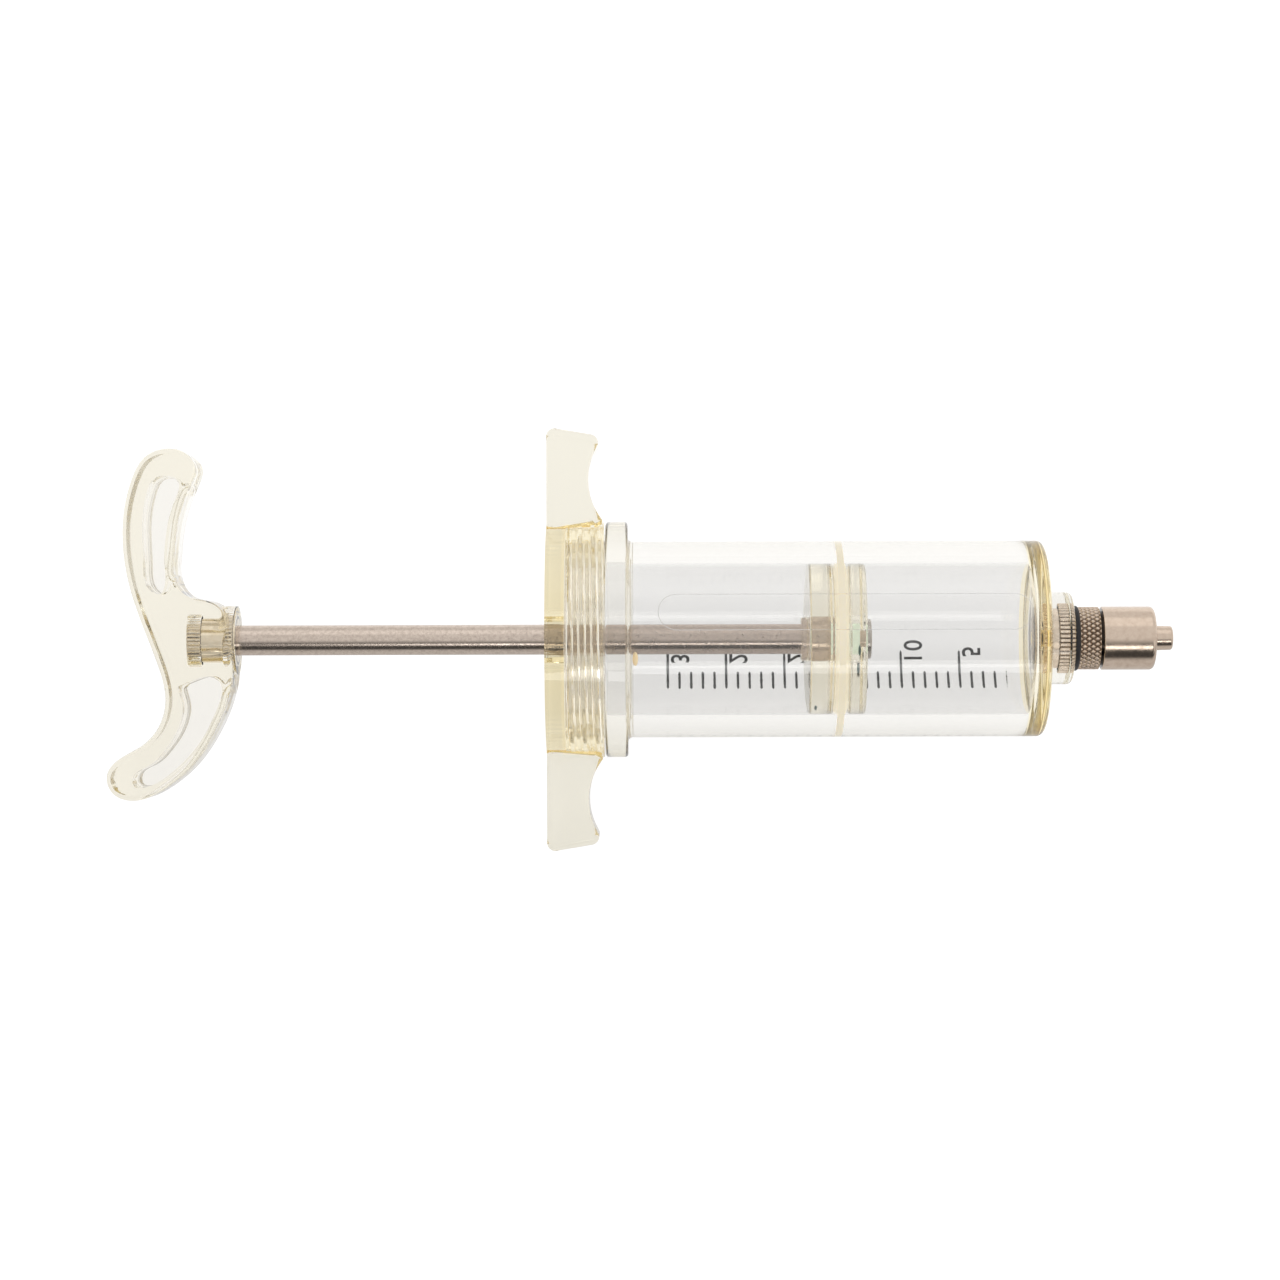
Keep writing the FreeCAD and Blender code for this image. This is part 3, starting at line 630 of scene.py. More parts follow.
@dataclass
class Barrel:
    """The graduated barrel: threaded tail, flange, tube, nose and boss."""

    bore: float = 12.65
    tube: float = 16.25
    spigot: float = 16.4
    spigot_length: float = 6.5
    flange: float = 19.5
    flange_length: float = 3.7
    flange_round: float = 0.5
    flange_root: float = 0.8
    nose_wall: float = 1.75
    nose_round: float = 1.2
    chamber_round: float = 1.5
    boss: float = 7.65
    boss_length: float = 4.8
    boss_round: float = 0.9
    boss_root: float = 1.0
    outlet: float = 1.4
    outlet_length: float = 1.25
    stem_hole: float = 2.05
    insert: float = 3.85
    insert_waist: float = 3.3
    insert_band: float = 1.8
    insert_gap: float = 1.1
    insert_edge: float = 0.15
    insert_hole: float = 1.95
    insert_bedding: float = 0.03
    ridges: int = 38
    knurl_depth: float = 0.25
    thread_height: float = 0.85
    thread_pitch: float = 2.1
    thread_inset: float = 0.15
    thread_fade: float = 0.4
    thread_step: float = 0.1
    segments: int = 256

    def __post_init__(self) -> None:
        """Works out the stations from the CAD barrel."""
        self.rear, self.boss_face = span("barrel")
        self.flange_rear = self.rear + self.spigot_length
        self.flange_front = self.flange_rear + self.flange_length
        self.nose_face = self.boss_face - self.boss_length
        self.chamber_end = self.nose_face - self.nose_wall
        self.insert_start = self.chamber_end + self.outlet_length
        self.insert_end = self.insert_start + 2 * self.insert_band + self.insert_gap
        self.gap_start, self.gap_end = self.insert_start + self.insert_band, self.insert_end - self.insert_band

    def ridge(self, station: Grid, angle: Grid) -> Grid:
        """Height of the thread: a rounded ridge whose crest moves one pitch for each turn."""
        phase = (station - self.rear) / self.thread_pitch - angle / TURN
        share = np.clip(0.5 + 0.8 * np.cos(TURN * phase), 0, 1)
        return self.thread_height * share * share * (3 - 2 * share)

    def thread(self, station: Grid, radius: Grid, angle: Grid) -> Grid:
        """The thread's height on the tail, and nothing on the rest of the shell."""
        start, end = self.rear + self.thread_inset, self.flange_rear - self.thread_inset
        on_tail = window(station, start, end, self.thread_fade)
        return self.ridge(station, angle) * on_tail * (np.abs(radius - self.spigot) < ON_SURFACE)

    def shell(self) -> Piece:
        """The moulding as one turned surface; its cavity keeps inside the knurls of the metal insert."""
        cavity = self.insert - self.knurl_depth
        waist = self.insert_waist - self.knurl_depth
        corners = stepped(
            self.rear, self.bore, self.spigot, self.flange_rear, (self.flange, self.flange_round),
            (self.flange_front, self.flange_round), (self.tube, self.flange_root), (self.nose_face, self.nose_round),
            (self.boss, self.boss_root), (self.boss_face, self.boss_round), self.stem_hole, self.insert_end,
            cavity, self.gap_end, waist, self.gap_start, cavity, self.insert_start, self.outlet,
            self.chamber_end, (self.bore, self.chamber_round),
        )
        loop = dense(profile(corners), self.rear, self.flange_rear, self.spigot - HAIR, self.thread_step)
        return lathe("barrel_shell", loop, self.segments, self.thread)

    def nose_insert(self) -> Piece:
        """The knurled metal insert: two bands of straight ridges with a smooth groove between them."""
        band = (self.insert, self.insert_edge)
        corners = stepped(
            self.insert_start - self.insert_bedding, self.insert_hole, band, (self.gap_start, self.insert_edge),
            self.insert_waist, self.gap_end, band, (self.insert_end, self.insert_edge), self.insert_hole,
        )
        return knurled("nose_insert_knurled", profile(corners), self.ridges, self.knurl_depth, self.insert_waist + 0.2)

    def build(self) -> None:
        """Builds and dresses the barrel, its insert and the washer."""
        settle(self.shell(), "barrel", "clear_barrel", Finish.BARREL, "barrel")
        settle(self.nose_insert(), "barrel", "plated_insert", Finish.INSERT, "nose_insert")
        settle(copy_of("nose_gasket", "gasket_ring"), "barrel", "black_washer", Finish.WASHER, "nose_gasket")


@dataclass
class LuerFitting:
    """The turned fitting: stem, diamond-knurled grip, groove, lock skirt and tapered cone."""

    channel: float = 1.05
    stem: float = 1.9
    base: float = 5.2
    base_length: float = 3.45
    base_round: float = 0.12
    groove: float = 4.5
    groove_width: float = 0.5
    lock: float = 5.25
    lock_length: float = 8.7
    lock_round: float = 0.8
    lock_edge: float = 0.15
    lock_bore: float = 4.0
    lock_depth: float = 6.6
    tip: float = 1.97
    taper: float = 0.03
    tip_reach: float = 3.1
    tip_round: float = 0.4
    tip_edge: float = 0.1
    diamonds: int = 36
    knurl_depth: float = 0.34
    knurl_lead: float = 1.4
    knurl_steepness: float = 1.25
    thread_height: float = 0.5
    thread_lead: float = 5.0
    thread_fade: float = 0.3
    thread_run_in: float = 0.6
    thread_run_out: float = 0.1

    def __post_init__(self) -> None:
        """Works out the stations back from the mouth of the cone."""
        self.stem_end, self.mouth = span("luer_lock_fitting")
        self.lock_end = self.mouth - self.tip_reach
        self.lock_start = self.lock_end - self.lock_length
        self.base_end = self.lock_start - self.groove_width
        self.base_start = self.base_end - self.base_length
        self.floor = self.lock_end - self.lock_depth

    def grip(self, station: Grid, radius: Grid, angle: Grid) -> Grid:
        """Depth of the diamonds, cut by two crossing sets of grooves, on the base only."""
        turn = self.diamonds * angle / 2
        slope = math.pi * (station - self.base_start) / self.knurl_lead
        cut = 1 - np.minimum(np.abs(np.sin(turn + slope)), np.abs(np.sin(turn - slope)))
        on_base = (radius > self.base - ON_SURFACE) * (station < self.base_end + HAIR)
        on_base = on_base * window(station, self.base_start, self.base_end, self.base_round)
        deep = np.clip(self.knurl_steepness * cut - (self.knurl_steepness - 1), 0, 1)
        return self.knurl_depth * deep * on_base

    def relief(self, station: Grid, radius: Grid, angle: Grid) -> Grid:
        """The grip's diamonds and the lock's inner thread, which has two starts and stands inwards."""
        start = 2 * (station - self.floor) / self.thread_lead - 2 * angle / TURN
        crest = np.clip(0.4 + 0.8 * np.cos(TURN * start), 0, 1)
        first, last = self.floor + self.thread_run_in, self.lock_end - self.thread_run_out
        on_lock = (np.abs(radius - self.lock_bore) < HAIR) * window(station, first, last, self.thread_fade)
        return -self.grip(station, radius, angle) - self.thread_height * crest * on_lock

    def build(self) -> None:
        """Builds and dresses the fitting."""
        root = self.tip + self.taper * (self.mouth - self.floor)
        corners = stepped(
            self.stem_end, self.channel, self.stem, self.base_start, (self.base, self.base_round),
            (self.base_end, self.base_round), self.groove, self.lock_start, (self.lock, self.lock_edge),
            (self.lock_end, self.lock_round), (self.lock_bore, self.lock_edge), self.floor, root,
            (self.mouth, self.tip, self.tip_round), (self.channel, self.tip_edge),
        )
        loop = dense(profile(corners), self.base_start, self.base_end, self.base - 2 * HAIR, step=0.08)
        loop = dense(loop, self.floor, self.lock_end, self.lock_bore - HAIR, step=0.2)
        piece = lathe("luer_fitting_turned", loop, self.diamonds * RIDGE_STEPS, self.relief, crease=40)
        settle(piece, "barrel", "nickel_fitting", Finish.NICKEL, "luer_lock_fitting")


@dataclass
class GripCap:
    """The screw cap with its two finger wings and the thread inside its collar."""

    barrel: Barrel
    play: float = 0.2
    sleeve: float = 18.4
    rear_overlap: float = 0.3
    front_inset: float = 0.25
    thread_inset: float = 0.5
    thread_overrun: float = 1.0

    def thread_sleeve(self) -> Piece:
        """A sleeve inside the collar whose bore follows the barrel's thread at the thread's play."""
        tail = self.barrel
        start, end = tail.rear - self.rear_overlap, tail.flange_rear - self.front_inset
        bore = tail.spigot + self.play
        loop = np.array([(start, bore), (start, self.sleeve), (end, self.sleeve), (end, bore)])
        loop = dense(loop[::-1], start, end, bore - HAIR, tail.thread_step)

        def thread(station: Grid, radius: Grid, angle: Grid) -> Grid:
            """The barrel's thread, on the sleeve's bore only."""
            first, last = start + self.thread_inset, end + self.thread_overrun
            ridge = tail.ridge(station, angle) * window(station, first, last, tail.thread_fade)
            return ridge * (radius < bore + ON_SURFACE)

        return lathe("cap_thread_sleeve", loop, tail.segments, thread)

    def build(self) -> None:
        """Joins the thread to a merged copy of the CAD cap, and dresses it."""
        cap, sleeve = copy_of("grip_cap", "grip_cap_moulding"), self.thread_sleeve()
        cap.modifiers.clear()
        union = cap.modifiers.new("thread", "BOOLEAN")
        union.operation, union.solver, union.object = "UNION", "EXACT", sleeve
        depsgraph = bpy.context.evaluated_depsgraph_get()
        joined = bpy.data.meshes.new_from_object(cap.evaluated_get(depsgraph))
        for piece in (cap, sleeve):
            bpy.data.objects.remove(piece)
        joined.materials.clear()
        piece = weighted(finished("grip_cap_threaded", joined, MOULDED_CREASE))
        settle(piece, "barrel", "clear_cap", Finish.CAP, "grip_cap")


# The plunger

@dataclass
class Plunger:
    """Rod, piston halves, seal ring, core, nut, and the handle with its insert."""

    bore: float
    piston: float = 12.5
    rear_length: float = 4.0
    front_length: float = 2.8
    piston_round: float = 0.4
    neck: float = 3.6
    neck_length: float = 1.0
    neck_edge: float = 0.25
    neck_root: float = 0.3
    rod: float = 2.5
    rod_edge: float = 0.1
    rod_depth: float = 3.7
    rod_overlap: float = 0.05
    stud: float = 1.4
    bush_hole: float = 2.65
    bush_length: float = 4.7
    pad: float = 4.3
    pad_height: float = 0.45
    pad_root: float = 0.15
    pad_edge: float = 0.2
    ring: float = 1.1
    ring_play: float = 0.15
    ring_running: float = 0.05
    squeeze: float = 0.25
    wet: float = 0.01
    gap: float = 0.02
    stud_hole: float = 1.45
    socket: float = 4.3
    socket_edge: float = 0.2
    socket_waist: float = 3.65
    socket_bore: float = 2.55
    socket_bands: Corner = (2.3, 3.6, 1.6)
    mouth_edge: float = 0.1
    ridges: int = 40
    knurl_depth: float = 0.16
    segments: int = 192

    def __post_init__(self) -> None:
        """Works out the stations from the CAD piston and rod."""
        self.rod_tail, self.rod_tip = span("plunger_rod")
        self.neck_start = span("piston_rear")[0]
        self.face = self.neck_start + self.neck_length
        self.groove_start = self.face + self.rear_length
        self.groove_end = self.groove_start + 2 * (self.ring + self.ring_play)
        self.front_face = self.groove_end + self.front_length
        self.ring_centre = self.bore - self.ring_running - self.ring
        self.floor = self.ring_centre - self.ring - self.ring_running
        self.shoulder = self.face + self.rod_depth

    def piston_rear(self) -> Piece:
        """The rear half with its collar round the rod; its hole keeps just inside the rod."""
        hole = self.rod - self.rod_overlap
        corners = stepped(
            self.neck_start, hole, (self.neck, self.neck_edge), (self.face, self.neck_root),
            (self.piston, self.piston_round), (self.groove_start, self.piston_round), self.floor,
            self.groove_end - self.gap, self.bush_hole, self.shoulder, hole,
        )
        return lathe("piston_rear_clear", profile(corners), self.segments)

    def piston_front(self) -> Piece:
        """The front half with the raised pad under its nut."""
        corners = stepped(
            self.groove_end, self.bush_hole, (self.piston, self.piston_round), (self.front_face, self.piston_round),
            (self.pad, self.pad_root), (self.front_face + self.pad_height, self.pad_edge), self.stud_hole,
            self.shoulder + self.bush_length + self.gap, self.bush_hole,
        )
        return lathe("piston_front_clear", profile(corners), self.segments)

    def seal(self) -> Piece:
        """The O-ring: a circle of the ring's section, stretched outwards and cut off flat by the bore."""
        turn = np.linspace(0, TURN, num=48, endpoint=False)
        centre = self.groove_start + self.ring_play + self.ring
        radius = self.ring_centre + self.ring * np.sin(turn) + self.squeeze * np.clip(np.sin(turn), 0, 1)
        loop = np.stack([centre + self.ring * np.cos(turn), np.minimum(radius, self.bore + self.wet)], axis=1)
        return lathe("seal_ring_squeezed", loop, self.segments)

    def rod_piece(self) -> Piece:
        """The rod with its stud, from axis to axis."""
        corners = stepped(
            self.rod_tail, 0, (self.rod, self.rod_edge), (self.shoulder, self.rod_edge), self.stud,
            (self.rod_tip, self.rod_edge), 0,
        )
        return lathe("plunger_rod_drawn", profile(corners, closed=False), segments=96)

    def socket_piece(self) -> Piece:
        """The handle's insert: two knurled bands, a polished groove and a plain mouth."""
        start, face = span("handle_insert")
        rear, groove, front = self.socket_bands
        band, second = (self.socket, self.socket_edge), start + rear + groove
        corners = stepped(
            start, 0, band, (start + rear, self.socket_edge), self.socket_waist, second, band,
            (second + front, self.socket_edge), self.socket_waist, (face, self.mouth_edge), self.socket_bore,
            self.rod_tail - self.rod_overlap, 0,
        )
        loop = profile(corners, closed=False)
        return knurled("handle_socket_knurled", loop, self.ridges, self.knurl_depth, self.socket_waist + 0.15)

    def build(self) -> None:
        """Builds and dresses the whole plunger."""
        settle(self.piston_rear(), "plunger", "clear_piston", Finish.PISTON, "piston_rear")
        settle(self.piston_front(), "plunger", "clear_piston", Finish.PISTON, "piston_front")
        settle(self.seal(), "seal", "seal_ring", Finish.SEAL, "seal_ring")
        settle(copy_of("piston_bush", "piston_core"), "plunger", "piston_core", Finish.CORE, "piston_bush")
        settle(copy_of("piston_nut", "piston_nut_turned"), "plunger", "steel_nut", Finish.NUT, "piston_nut")
        settle(self.rod_piece(), "plunger", "steel_rod", Finish.ROD, "plunger_rod")
        settle(self.socket_piece(), "plunger", "champagne_insert", Finish.SOCKET, "handle_insert")
        settle(copy_of("handle", "handle_moulding"), "plunger", "clear_handle", Finish.HANDLE, "handle")


# The scale on the barrel

@dataclass
class Scale:
    """The printed scale on the far side of the barrel, read from outside with its zero at the nose.

    Angles are in degrees from the far line of the tube towards the lower side of the image.
    """

    barrel: Barrel
    roll: float
    zero_from_boss: float = 7.44
    per_ml: float = 1.98
    full: int = 30
    long_every: int = 5
    mark_width: float = 0.42
    mark_rows: int = 24
    low_angle: float = 39.8
    short_angle: float = 24.0
    long_angle: float = 8.2
    ink_foot: float = 0.004
    thickness: float = 0.02
    digit_height: float = 3.15
    height_in_size: float = 0.72
    digit_spacing: float = 1.15
    digit_gap: float = 0.62
    digit_squeeze: float = 1.04
    digit_bold: float = 0.055
    digit_centre_angle: float = 9.4
    waver: float = 0.08
    end_taper: float = 5.0
    thinnest: float = 0.03
    worn_value: int = 1
    worn_width: float = 0.35
    worn_waver: float = 0.3
    seed: int = 7
    crease: float = 30.0

    def wrap(self, station: Grid, angle: Grid, height: Grid) -> Grid:
        """Places points, given by station, angle and height over the tube."""
        radius = self.barrel.tube + height
        turn = np.radians(angle)
        flat = np.stack([station, -radius * np.sin(turn), -radius * np.cos(turn)], axis=-1)
        tilt = np.array(Matrix.Rotation(self.roll, 3, "X"))
        return flat @ tilt.T

    def station_of(self, value: int) -> float:
        """Station of a value's mark."""
        return self.barrel.boss_face - self.zero_from_boss - value * self.per_ml

    def mark(self, value: int, draws: np.random.Generator) -> Grid:
        """One mark as a closed strip, (rows, 4 corners, 3), whose edges waver as worn print does."""
        station, rows = self.station_of(value), self.mark_rows
        worn = value == self.worn_value
        angle = np.linspace(self.short_angle if value % self.long_every else self.long_angle, self.low_angle, rows)
        ends = np.minimum(1, self.end_taper * np.sin(np.linspace(0, math.pi, rows))) ** 0.5
        waver = draws.normal(0, self.worn_waver if worn else self.waver, rows)
        half = self.mark_width / 2 * np.maximum(ends * (self.worn_width if worn else 1) + waver, self.thinnest)
        low, high = np.full(rows, self.ink_foot), np.full(rows, self.thickness)
        corners = [(station - half, low), (station + half, low), (station + half, high), (station - half, high)]
        return np.stack([self.wrap(s, angle, h) for s, h in corners], axis=1)

    def marks(self) -> Piece:
        """All the marks as one mesh of closed strips."""
        draws = np.random.default_rng(self.seed)
        strips = [self.mark(value, draws) for value in range(1, self.full + 1)]
        verts = np.concatenate([s.reshape(-1, 3) for s in strips]) * MM
        ring = np.arange(self.mark_rows * 4).reshape(self.mark_rows, 4)
        near, far = ring[:-1], ring[1:]
        sides = np.stack([near, np.roll(near, -1, 1), np.roll(far, -1, 1), far], axis=-1).reshape(-1, 4)
        one = np.concatenate([sides, [ring[0], ring[-1][::-1]]])
        faces = np.concatenate([one + i * ring.size for i in range(len(strips))])
        mesh = bpy.data.meshes.new("scale_marks")
        mesh.from_pydata(verts.tolist(), [], faces.tolist())
        return finished("scale_marks", mesh, self.crease)

    def numeral(self, value: int) -> Piece:
        """One number, standing towards the nose, bent round the tube and given the ink's thickness."""
        letters = bpy.data.curves.new(f"numeral_{value}", "FONT")
        letters.body = str(value)
        letters.size = self.digit_height / self.height_in_size * MM
        letters.align_x = "CENTER"
        letters.resolution_u = 6
        letters.space_character = self.digit_spacing
        letters.offset = self.digit_bold * MM
        letters.extrude = self.thickness / 2 * MM
        typed = linked(f"typed_{value}", letters)
        depsgraph = bpy.context.evaluated_depsgraph_get()
        mesh = bpy.data.meshes.new_from_object(typed.evaluated_get(depsgraph))
        bpy.data.objects.remove(typed)
        flat = np.zeros(len(mesh.vertices) * 3, np.float32)
        mesh.vertices.foreach_get("co", flat)
        flat = flat.reshape(-1, 3) / MM
        station = self.station_of(value) + self.digit_gap + flat[:, 1]
        along = np.degrees(flat[:, 0] * self.digit_squeeze / self.barrel.tube)
        height = np.where(flat[:, 2] > 0, self.thickness, self.ink_foot)
        placed = self.wrap(station, self.digit_centre_angle - along, height) * MM
        mesh.vertices.foreach_set("co", placed.astype(np.float32).ravel())
        return finished(f"scale_number_{value}", mesh, self.crease)

    def build(self) -> None:
        """Builds and dresses the marks and the numbers."""
        settle(self.marks(), "barrel", "clear_barrel", Finish.INK)
        for value in range(self.long_every, self.full + 1, self.long_every):
            settle(self.numeral(value), "barrel", "clear_barrel", Finish.INK)


# Marks of moulding and use

@dataclass
class NearSideMarks:
    """The raised line round the bare panel on the near side, a drip of glue and specks in the piston.

    Angles are in degrees from the camera's side of the axis towards the top of the image. A drop has
    a half length, a half width and a height; a speck is given by station, angle and half width.
    """

    barrel: Barrel
    roll: float
    panel_from_boss: float = 68.6
    panel_to_boss: float = 8.0
    panel_low_angle: float = 5.3
    panel_high_angle: float = 26.6
    line_radius: float = 0.05
    glue_station: float = -89.05
    glue_angle: float = -11.2
    glue_size: Corner = (0.45, 1.15, 0.25)
    specks: tuple[Corner, ...] = ((-59.6, -54.0, 0.6), (-52.7, -8.0, 0.8), (-52.9, -21.0, 0.8))
    speck_length: float = 0.22
    speck_height: float = 0.03
    speck_depth: float = 0.12
    crease: float = 60.0

    def place(self, station: Grid, angle: Grid, radius: Grid) -> Grid:
        """Turns (station, angle, distance from the axis) into points."""
        turn = np.radians(angle) - self.roll
        return np.stack([station, radius * np.sin(turn), radius * np.cos(turn)], axis=-1)

    def panel_line(self) -> Piece:
        """A fine half-sunk bead along a stadium: two straight sides and two half circles, laid on the tube."""
        tube = self.barrel.tube
        half = math.radians(self.panel_high_angle - self.panel_low_angle) / 2 * tube
        start = self.barrel.boss_face - self.panel_from_boss + half
        end = self.barrel.boss_face - self.panel_to_boss - half
        turn = np.linspace(-math.pi / 2, math.pi / 2, num=25)
        along = np.concatenate([end + half * np.cos(turn), start - half * np.cos(turn)])
        across = np.concatenate([half * np.sin(turn), -half * np.sin(turn)])
        ahead = np.stack([np.roll(along, -1) - np.roll(along, 1), np.roll(across, -1) - np.roll(across, 1)])
        normal = np.stack([-ahead[1], ahead[0]]) / np.linalg.norm(ahead, axis=0)
        section = np.linspace(0, TURN, num=8, endpoint=False)
        side, height = self.line_radius * np.cos(section), self.line_radius * np.sin(section)
        station = along[:, None] + normal[0][:, None] * side
        arc = across[:, None] + normal[1][:, None] * side
        middle = (self.panel_low_angle + self.panel_high_angle) / 2
        points = self.place(station, middle + np.degrees(arc / tube), np.broadcast_to(tube + height, arc.shape))
        return mesh_of("panel_line", points, self.crease)

    def drop(self, name: str, station: float, angle: float, radius: float, size: Corner) -> Piece:
        """A flattened drop: an ellipsoid of half length, half width and height, bent round the axis."""
        round_it, over = np.arange(24)[:, None] * TURN / 24, np.linspace(0, math.pi, 13)[None, :]
        along = station + size[0] * np.cos(round_it) * np.sin(over)
        arc = size[1] * np.sin(round_it) * np.sin(over)
        height = size[2] * np.cos(over) + 0 * round_it
        points = self.place(along, angle + np.degrees(arc / radius), radius + height)
        return mesh_of(name, points, self.crease)

    def build(self) -> None:
        """Builds and dresses the marks."""
        settle(self.panel_line(), "barrel", "clear_barrel", Finish.BARREL)
        drip = self.drop("glue_drip", self.glue_station, self.glue_angle, self.barrel.tube, self.glue_size)
        settle(drip, "barrel", "clear_barrel", Finish.GLUE)
        piston = self.barrel.bore - self.speck_depth
        for i, (station, angle, width) in enumerate(self.specks):
            size = (self.speck_length, width, self.speck_height)
            speck = self.drop(f"residue_speck_{i + 1}", station, angle, piston, size)
            settle(speck, "plunger", "clear_piston", Finish.RESIDUE)


# The studio

@dataclass(frozen=True)
class SoftBox:
    """A lamp: its angles from the camera in degrees, and its distance and size in metres."""

    name: str
    below: float
    aside: float
    distance: float
    width: float
    length: float
    power: float


@dataclass
class Studio:
    """Pale floor, white surroundings, soft lamps and the camera of the photograph."""

    roll: float
    scale_mm: float = 0.166
    distance: float = 560.0
    image: int = 1280
    sensor: float = 36.0
    middle_station: float = -88.28
    middle_height: float = -0.1
    lean: float = 0.156
    floor_half: float = 4.0
    floor_lift: float = 0.9
    paper_grey: float = 0.86
    shade_grey: float = 0.25
    paper_edge: float = -0.15
    paper_lit: float = -0.05
    paper_level: float = 0.7
    back_lit: float = 0.03
    back_level: float = 0.4
    bounces: int = 32
    dark_below: float = 50.0
    dark_level: float = 0.06
    room_level: float = 0.88
    dark_cosines: tuple[float, float] = (0.66, 0.96)
    through_share: float = 0.7
    soft_boxes: tuple[SoftBox, ...] = (
        SoftBox("back_soft_box", -62, 0, 1.1, 0.9, 0.7, 0.5),
        SoftBox("front_strip_box", 35, 8, 0.9, 0.5, 0.16, 0.7),
    )

    def rod_in_barrel(self, tree: Tree, path: bpy.types.Node) -> Socket:
        """1 for light by way of one mirror behind one clear wall, crossed in and out: four surfaces."""
        mirrors = maths(tree, "COMPARE", path.outputs["Glossy Depth"], 1.0, HALF_STEP)
        walls = maths(tree, "COMPARE", path.outputs["Transmission Depth"], 4.0, HALF_STEP)
        return maths(tree, "MULTIPLY", mirrors, walls)

    def paper_in_metal(self, tree: Tree) -> Socket:
        """How bright metal mirrors the floor: dark towards its near edge, and brightest behind the syringe."""
        across = add_node(tree, "SeparateXYZ", {"Vector": object_place(tree)}).outputs["Y"]
        front = ranged(tree, across, self.paper_edge, self.paper_lit, self.dark_level, self.paper_level)
        back = ranged(tree, across, 0.0, self.back_lit, 0.0, self.back_level)
        level = maths(tree, "ADD", front, back)
        return feed(tree, "Emission", {"Color": WHITE, "Strength": level})

    def paper(self) -> Material:
        """White paper, lifted to the background's white for the camera, also through plastic.

        Other light meets plain paper, and bare metal and the rod mirror paper_in_metal. Cycles also
        counts light that passed plastic as glossy, so that kind is taken off.
        """
        material, tree = blank_material("white_paper_floor")
        path = add_node(tree, "LightPath")
        passed = path.outputs["Is Transmission Ray"]
        seen = maths(tree, "MAXIMUM", path.outputs["Is Camera Ray"], passed)
        paper, shade = (
            feed(tree, "BsdfDiffuse", {"Color": (grey, grey, grey, 1)})
            for grey in (self.paper_grey, self.shade_grey)
        )
        glow = feed(tree, "Emission", {"Color": WHITE, "Strength": self.floor_lift})
        lit = feed(tree, "AddShader", {0: shade, 1: glow})
        plain = feed(tree, "MixShader", {0: seen, 1: paper, 2: lit})
        bare = maths(tree, "SUBTRACT", path.outputs["Is Glossy Ray"], passed, clamp=True)
        metal = maths(tree, "MAXIMUM", bare, self.rod_in_barrel(tree, path))
        surface = feed(tree, "MixShader", {0: metal, 1: plain, 2: self.paper_in_metal(tree)})
        add_node(tree, "OutputMaterial", {"Surface": surface})
        return material

    def floor(self) -> None:
        """A wide pale floor under the lowest point, which keeps the object's shadow."""
        low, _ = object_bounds()
        half = self.floor_half
        corners = [(-half, -half, low.z), (half, -half, low.z), (half, half, low.z), (-half, half, low.z)]
        mesh = bpy.data.meshes.new("floor")
        mesh.from_pydata(corners, [], [(0, 1, 2, 3)])
        mesh.materials.append(self.paper())
        linked("floor", mesh)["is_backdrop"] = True

    def world(self) -> None:
        """White to the camera and to matt surfaces; mirrors see a white room that is dark beside the camera.

        The brightness falls with the cosine of the angle from the middle of the dark part, which
        lies between the camera and the near edge of the table. What is seen through plastic is mostly
        the white, but for the rod in the barrel, which mirrors the room.
        """
        world = bpy.data.worlds.new("studio")
        bpy.context.scene.world = world
        world.use_nodes = True
        tree = world.node_tree
        tree.nodes.clear()
        path = add_node(tree, "LightPath")
        way = feed(tree, "TexCoord")
        middle = tuple(self.direction(self.dark_below))
        near = add_node(tree, "VectorMath", {0: way, 1: middle}, operation="DOT_PRODUCT").outputs["Value"]
        level = ranged(tree, near, *self.dark_cosines, self.room_level, self.dark_level, "SMOOTHSTEP")
        room, white = (
            feed(tree, "Background", {"Color": WHITE, "Strength": strength})
            for strength in (level, 1.0)
        )
        passed, rod = path.outputs["Is Transmission Ray"], self.rod_in_barrel(tree, path)
        clear = maths(tree, "SUBTRACT", passed, rod, clamp=True)
        through = maths(tree, "MULTIPLY", clear, self.through_share)
        seen = maths(tree, "MAXIMUM", path.outputs["Is Camera Ray"], through)
        matt = maths(tree, "GREATER_THAN", path.outputs["Diffuse Depth"], HALF_STEP)
        surface = feed(tree, "MixShader", {0: maths(tree, "MAXIMUM", seen, matt), 1: room, 2: white})
        add_node(tree, "OutputWorld", {"Surface": surface})

    def direction(self, below: float, aside: float = 0.0) -> Vector:
        """Unit vector at an angle below the camera in the image, and one to its right, in degrees."""
        tilt, side = self.roll + math.radians(below), math.radians(aside)
        return Vector((math.sin(side), -math.sin(tilt) * math.cos(side), math.cos(tilt) * math.cos(side)))

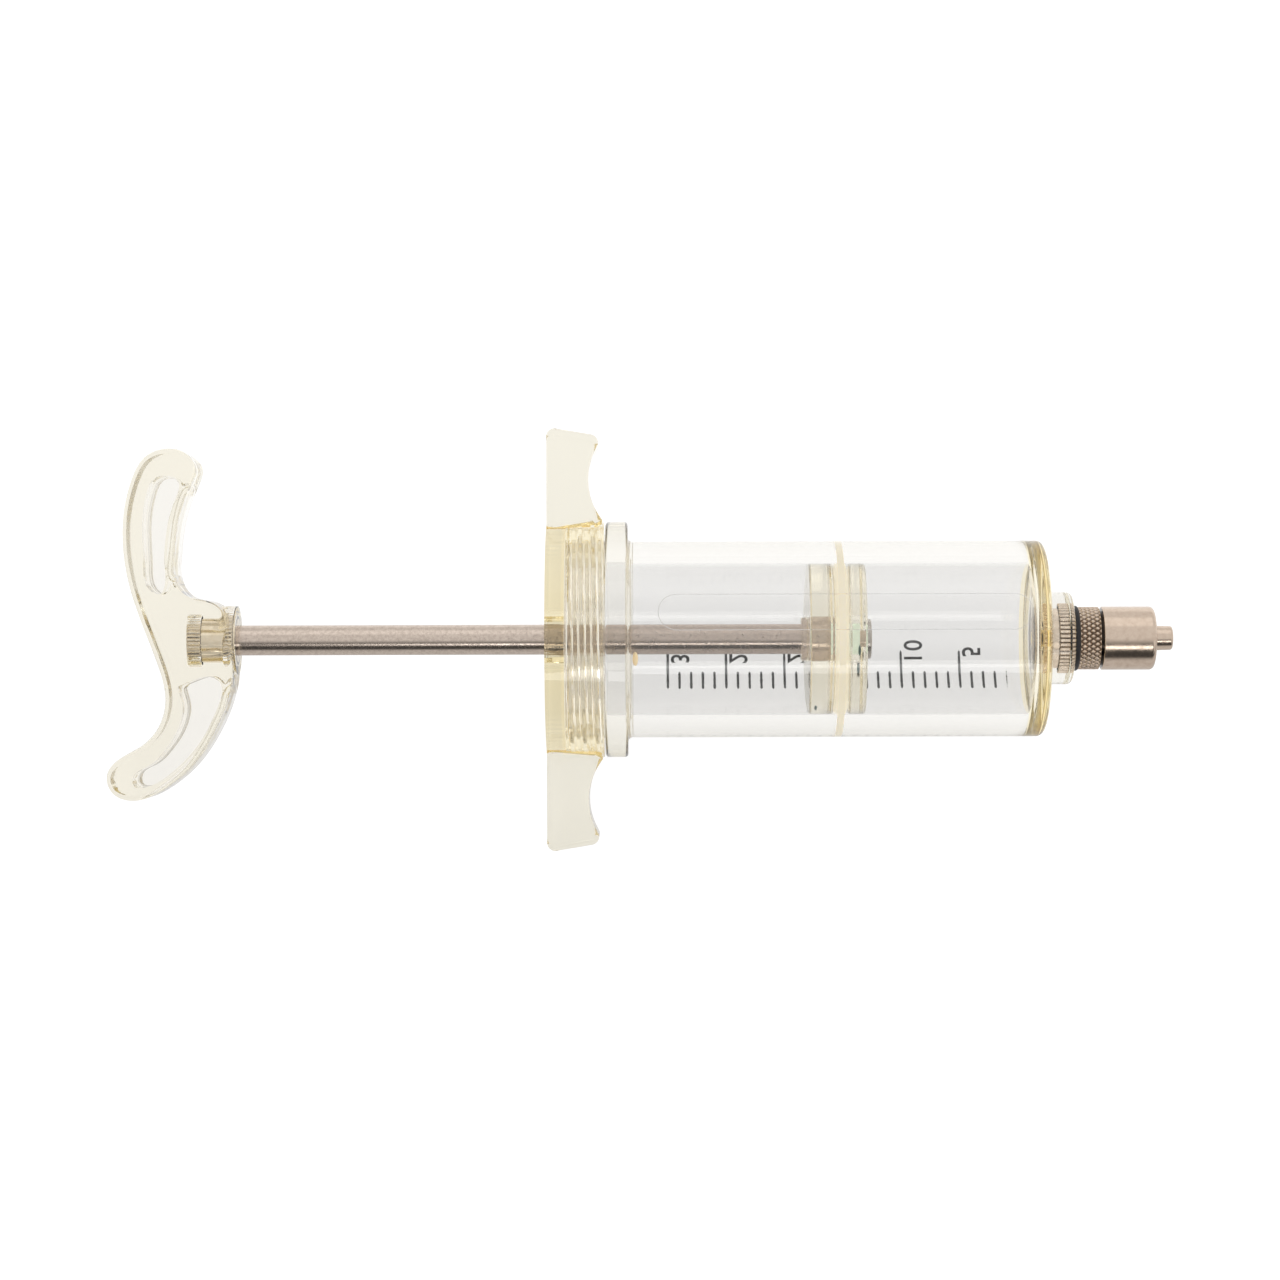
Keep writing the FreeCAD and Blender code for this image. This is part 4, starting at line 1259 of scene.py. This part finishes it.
    def lamps(self) -> None:
        """A large soft box behind the top of the image and a strip box at its bottom, both facing the middle."""
        centre = Vector((self.middle_station * MM, 0, 0))
        for box in self.soft_boxes:
            light = bpy.data.lights.new(box.name, "AREA")
            light.shape = "RECTANGLE"
            light.size, light.size_y, light.energy = box.width, box.length, box.power
            lamp = linked(box.name, light)
            lamp.location = centre + self.direction(box.below, box.aside) * box.distance
            lamp.rotation_euler = (centre - lamp.location).to_track_quat("-Z", "Y").to_euler()

    def camera(self) -> None:
        """The photograph's camera: square on to the wings, centred on the image's middle."""
        data = bpy.data.cameras.new("camera")
        data.sensor_width = self.sensor
        width = self.image * self.scale_mm
        data.lens = data.sensor_width * self.distance / width
        out = Vector((0, -math.sin(self.roll), math.cos(self.roll)))
        up = Vector((0, math.cos(self.roll), math.sin(self.roll)))
        aim = (Vector((self.middle_station, 0, 0)) + up * self.middle_height) * MM
        camera = linked("camera", data)
        lean = Matrix.Rotation(math.radians(-self.lean), 3, out)
        right, up = lean @ up.cross(out), lean @ up
        turn = Matrix((right, up, out)).transposed()
        camera.matrix_world = Matrix.Translation(aim + out * self.distance * MM) @ turn.to_4x4()
        data.clip_start, data.clip_end = 0.05, 20.0
        bpy.context.scene.camera = camera

    def build(self) -> None:
        """Sets the whole studio up, with bounces enough for light to cross every clear wall."""
        scene = bpy.context.scene
        scene.view_settings.view_transform = "Standard"
        scene.cycles.max_bounces = self.bounces
        scene.cycles.transmission_bounces = self.bounces
        scene.cycles.glossy_bounces = self.bounces
        self.floor()
        self.world()
        self.lamps()
        self.camera()


def wing_roll() -> float:
    """The roll of the syringe on its wing: from the cap's lowest point, how far the wings' tips lie off level.

    Returns:
        The angle about the axis, in radians, from the wings lying level.
    """
    reach, half_thickness, tip_round = 35.0, 6.35, 1.2
    collar = -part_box("grip_cap")[0].z / MM
    out, over = reach - tip_round, half_thickness - tip_round
    return math.asin((collar - tip_round) / math.hypot(out, over)) - math.atan2(over, out)


def main() -> None:
    """Builds the syringe and its studio."""
    logging.basicConfig(level=logging.INFO, format="%(message)s")
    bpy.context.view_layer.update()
    roll = wing_roll()
    barrel = Barrel()
    plunger, scale, marks = Plunger(barrel.bore), Scale(barrel, roll), NearSideMarks(barrel, roll)
    for part in (barrel, LuerFitting(), GripCap(barrel), plunger, scale, marks):
        part.build()
    Studio(roll).build()


if __name__ == "__main__":
    main()
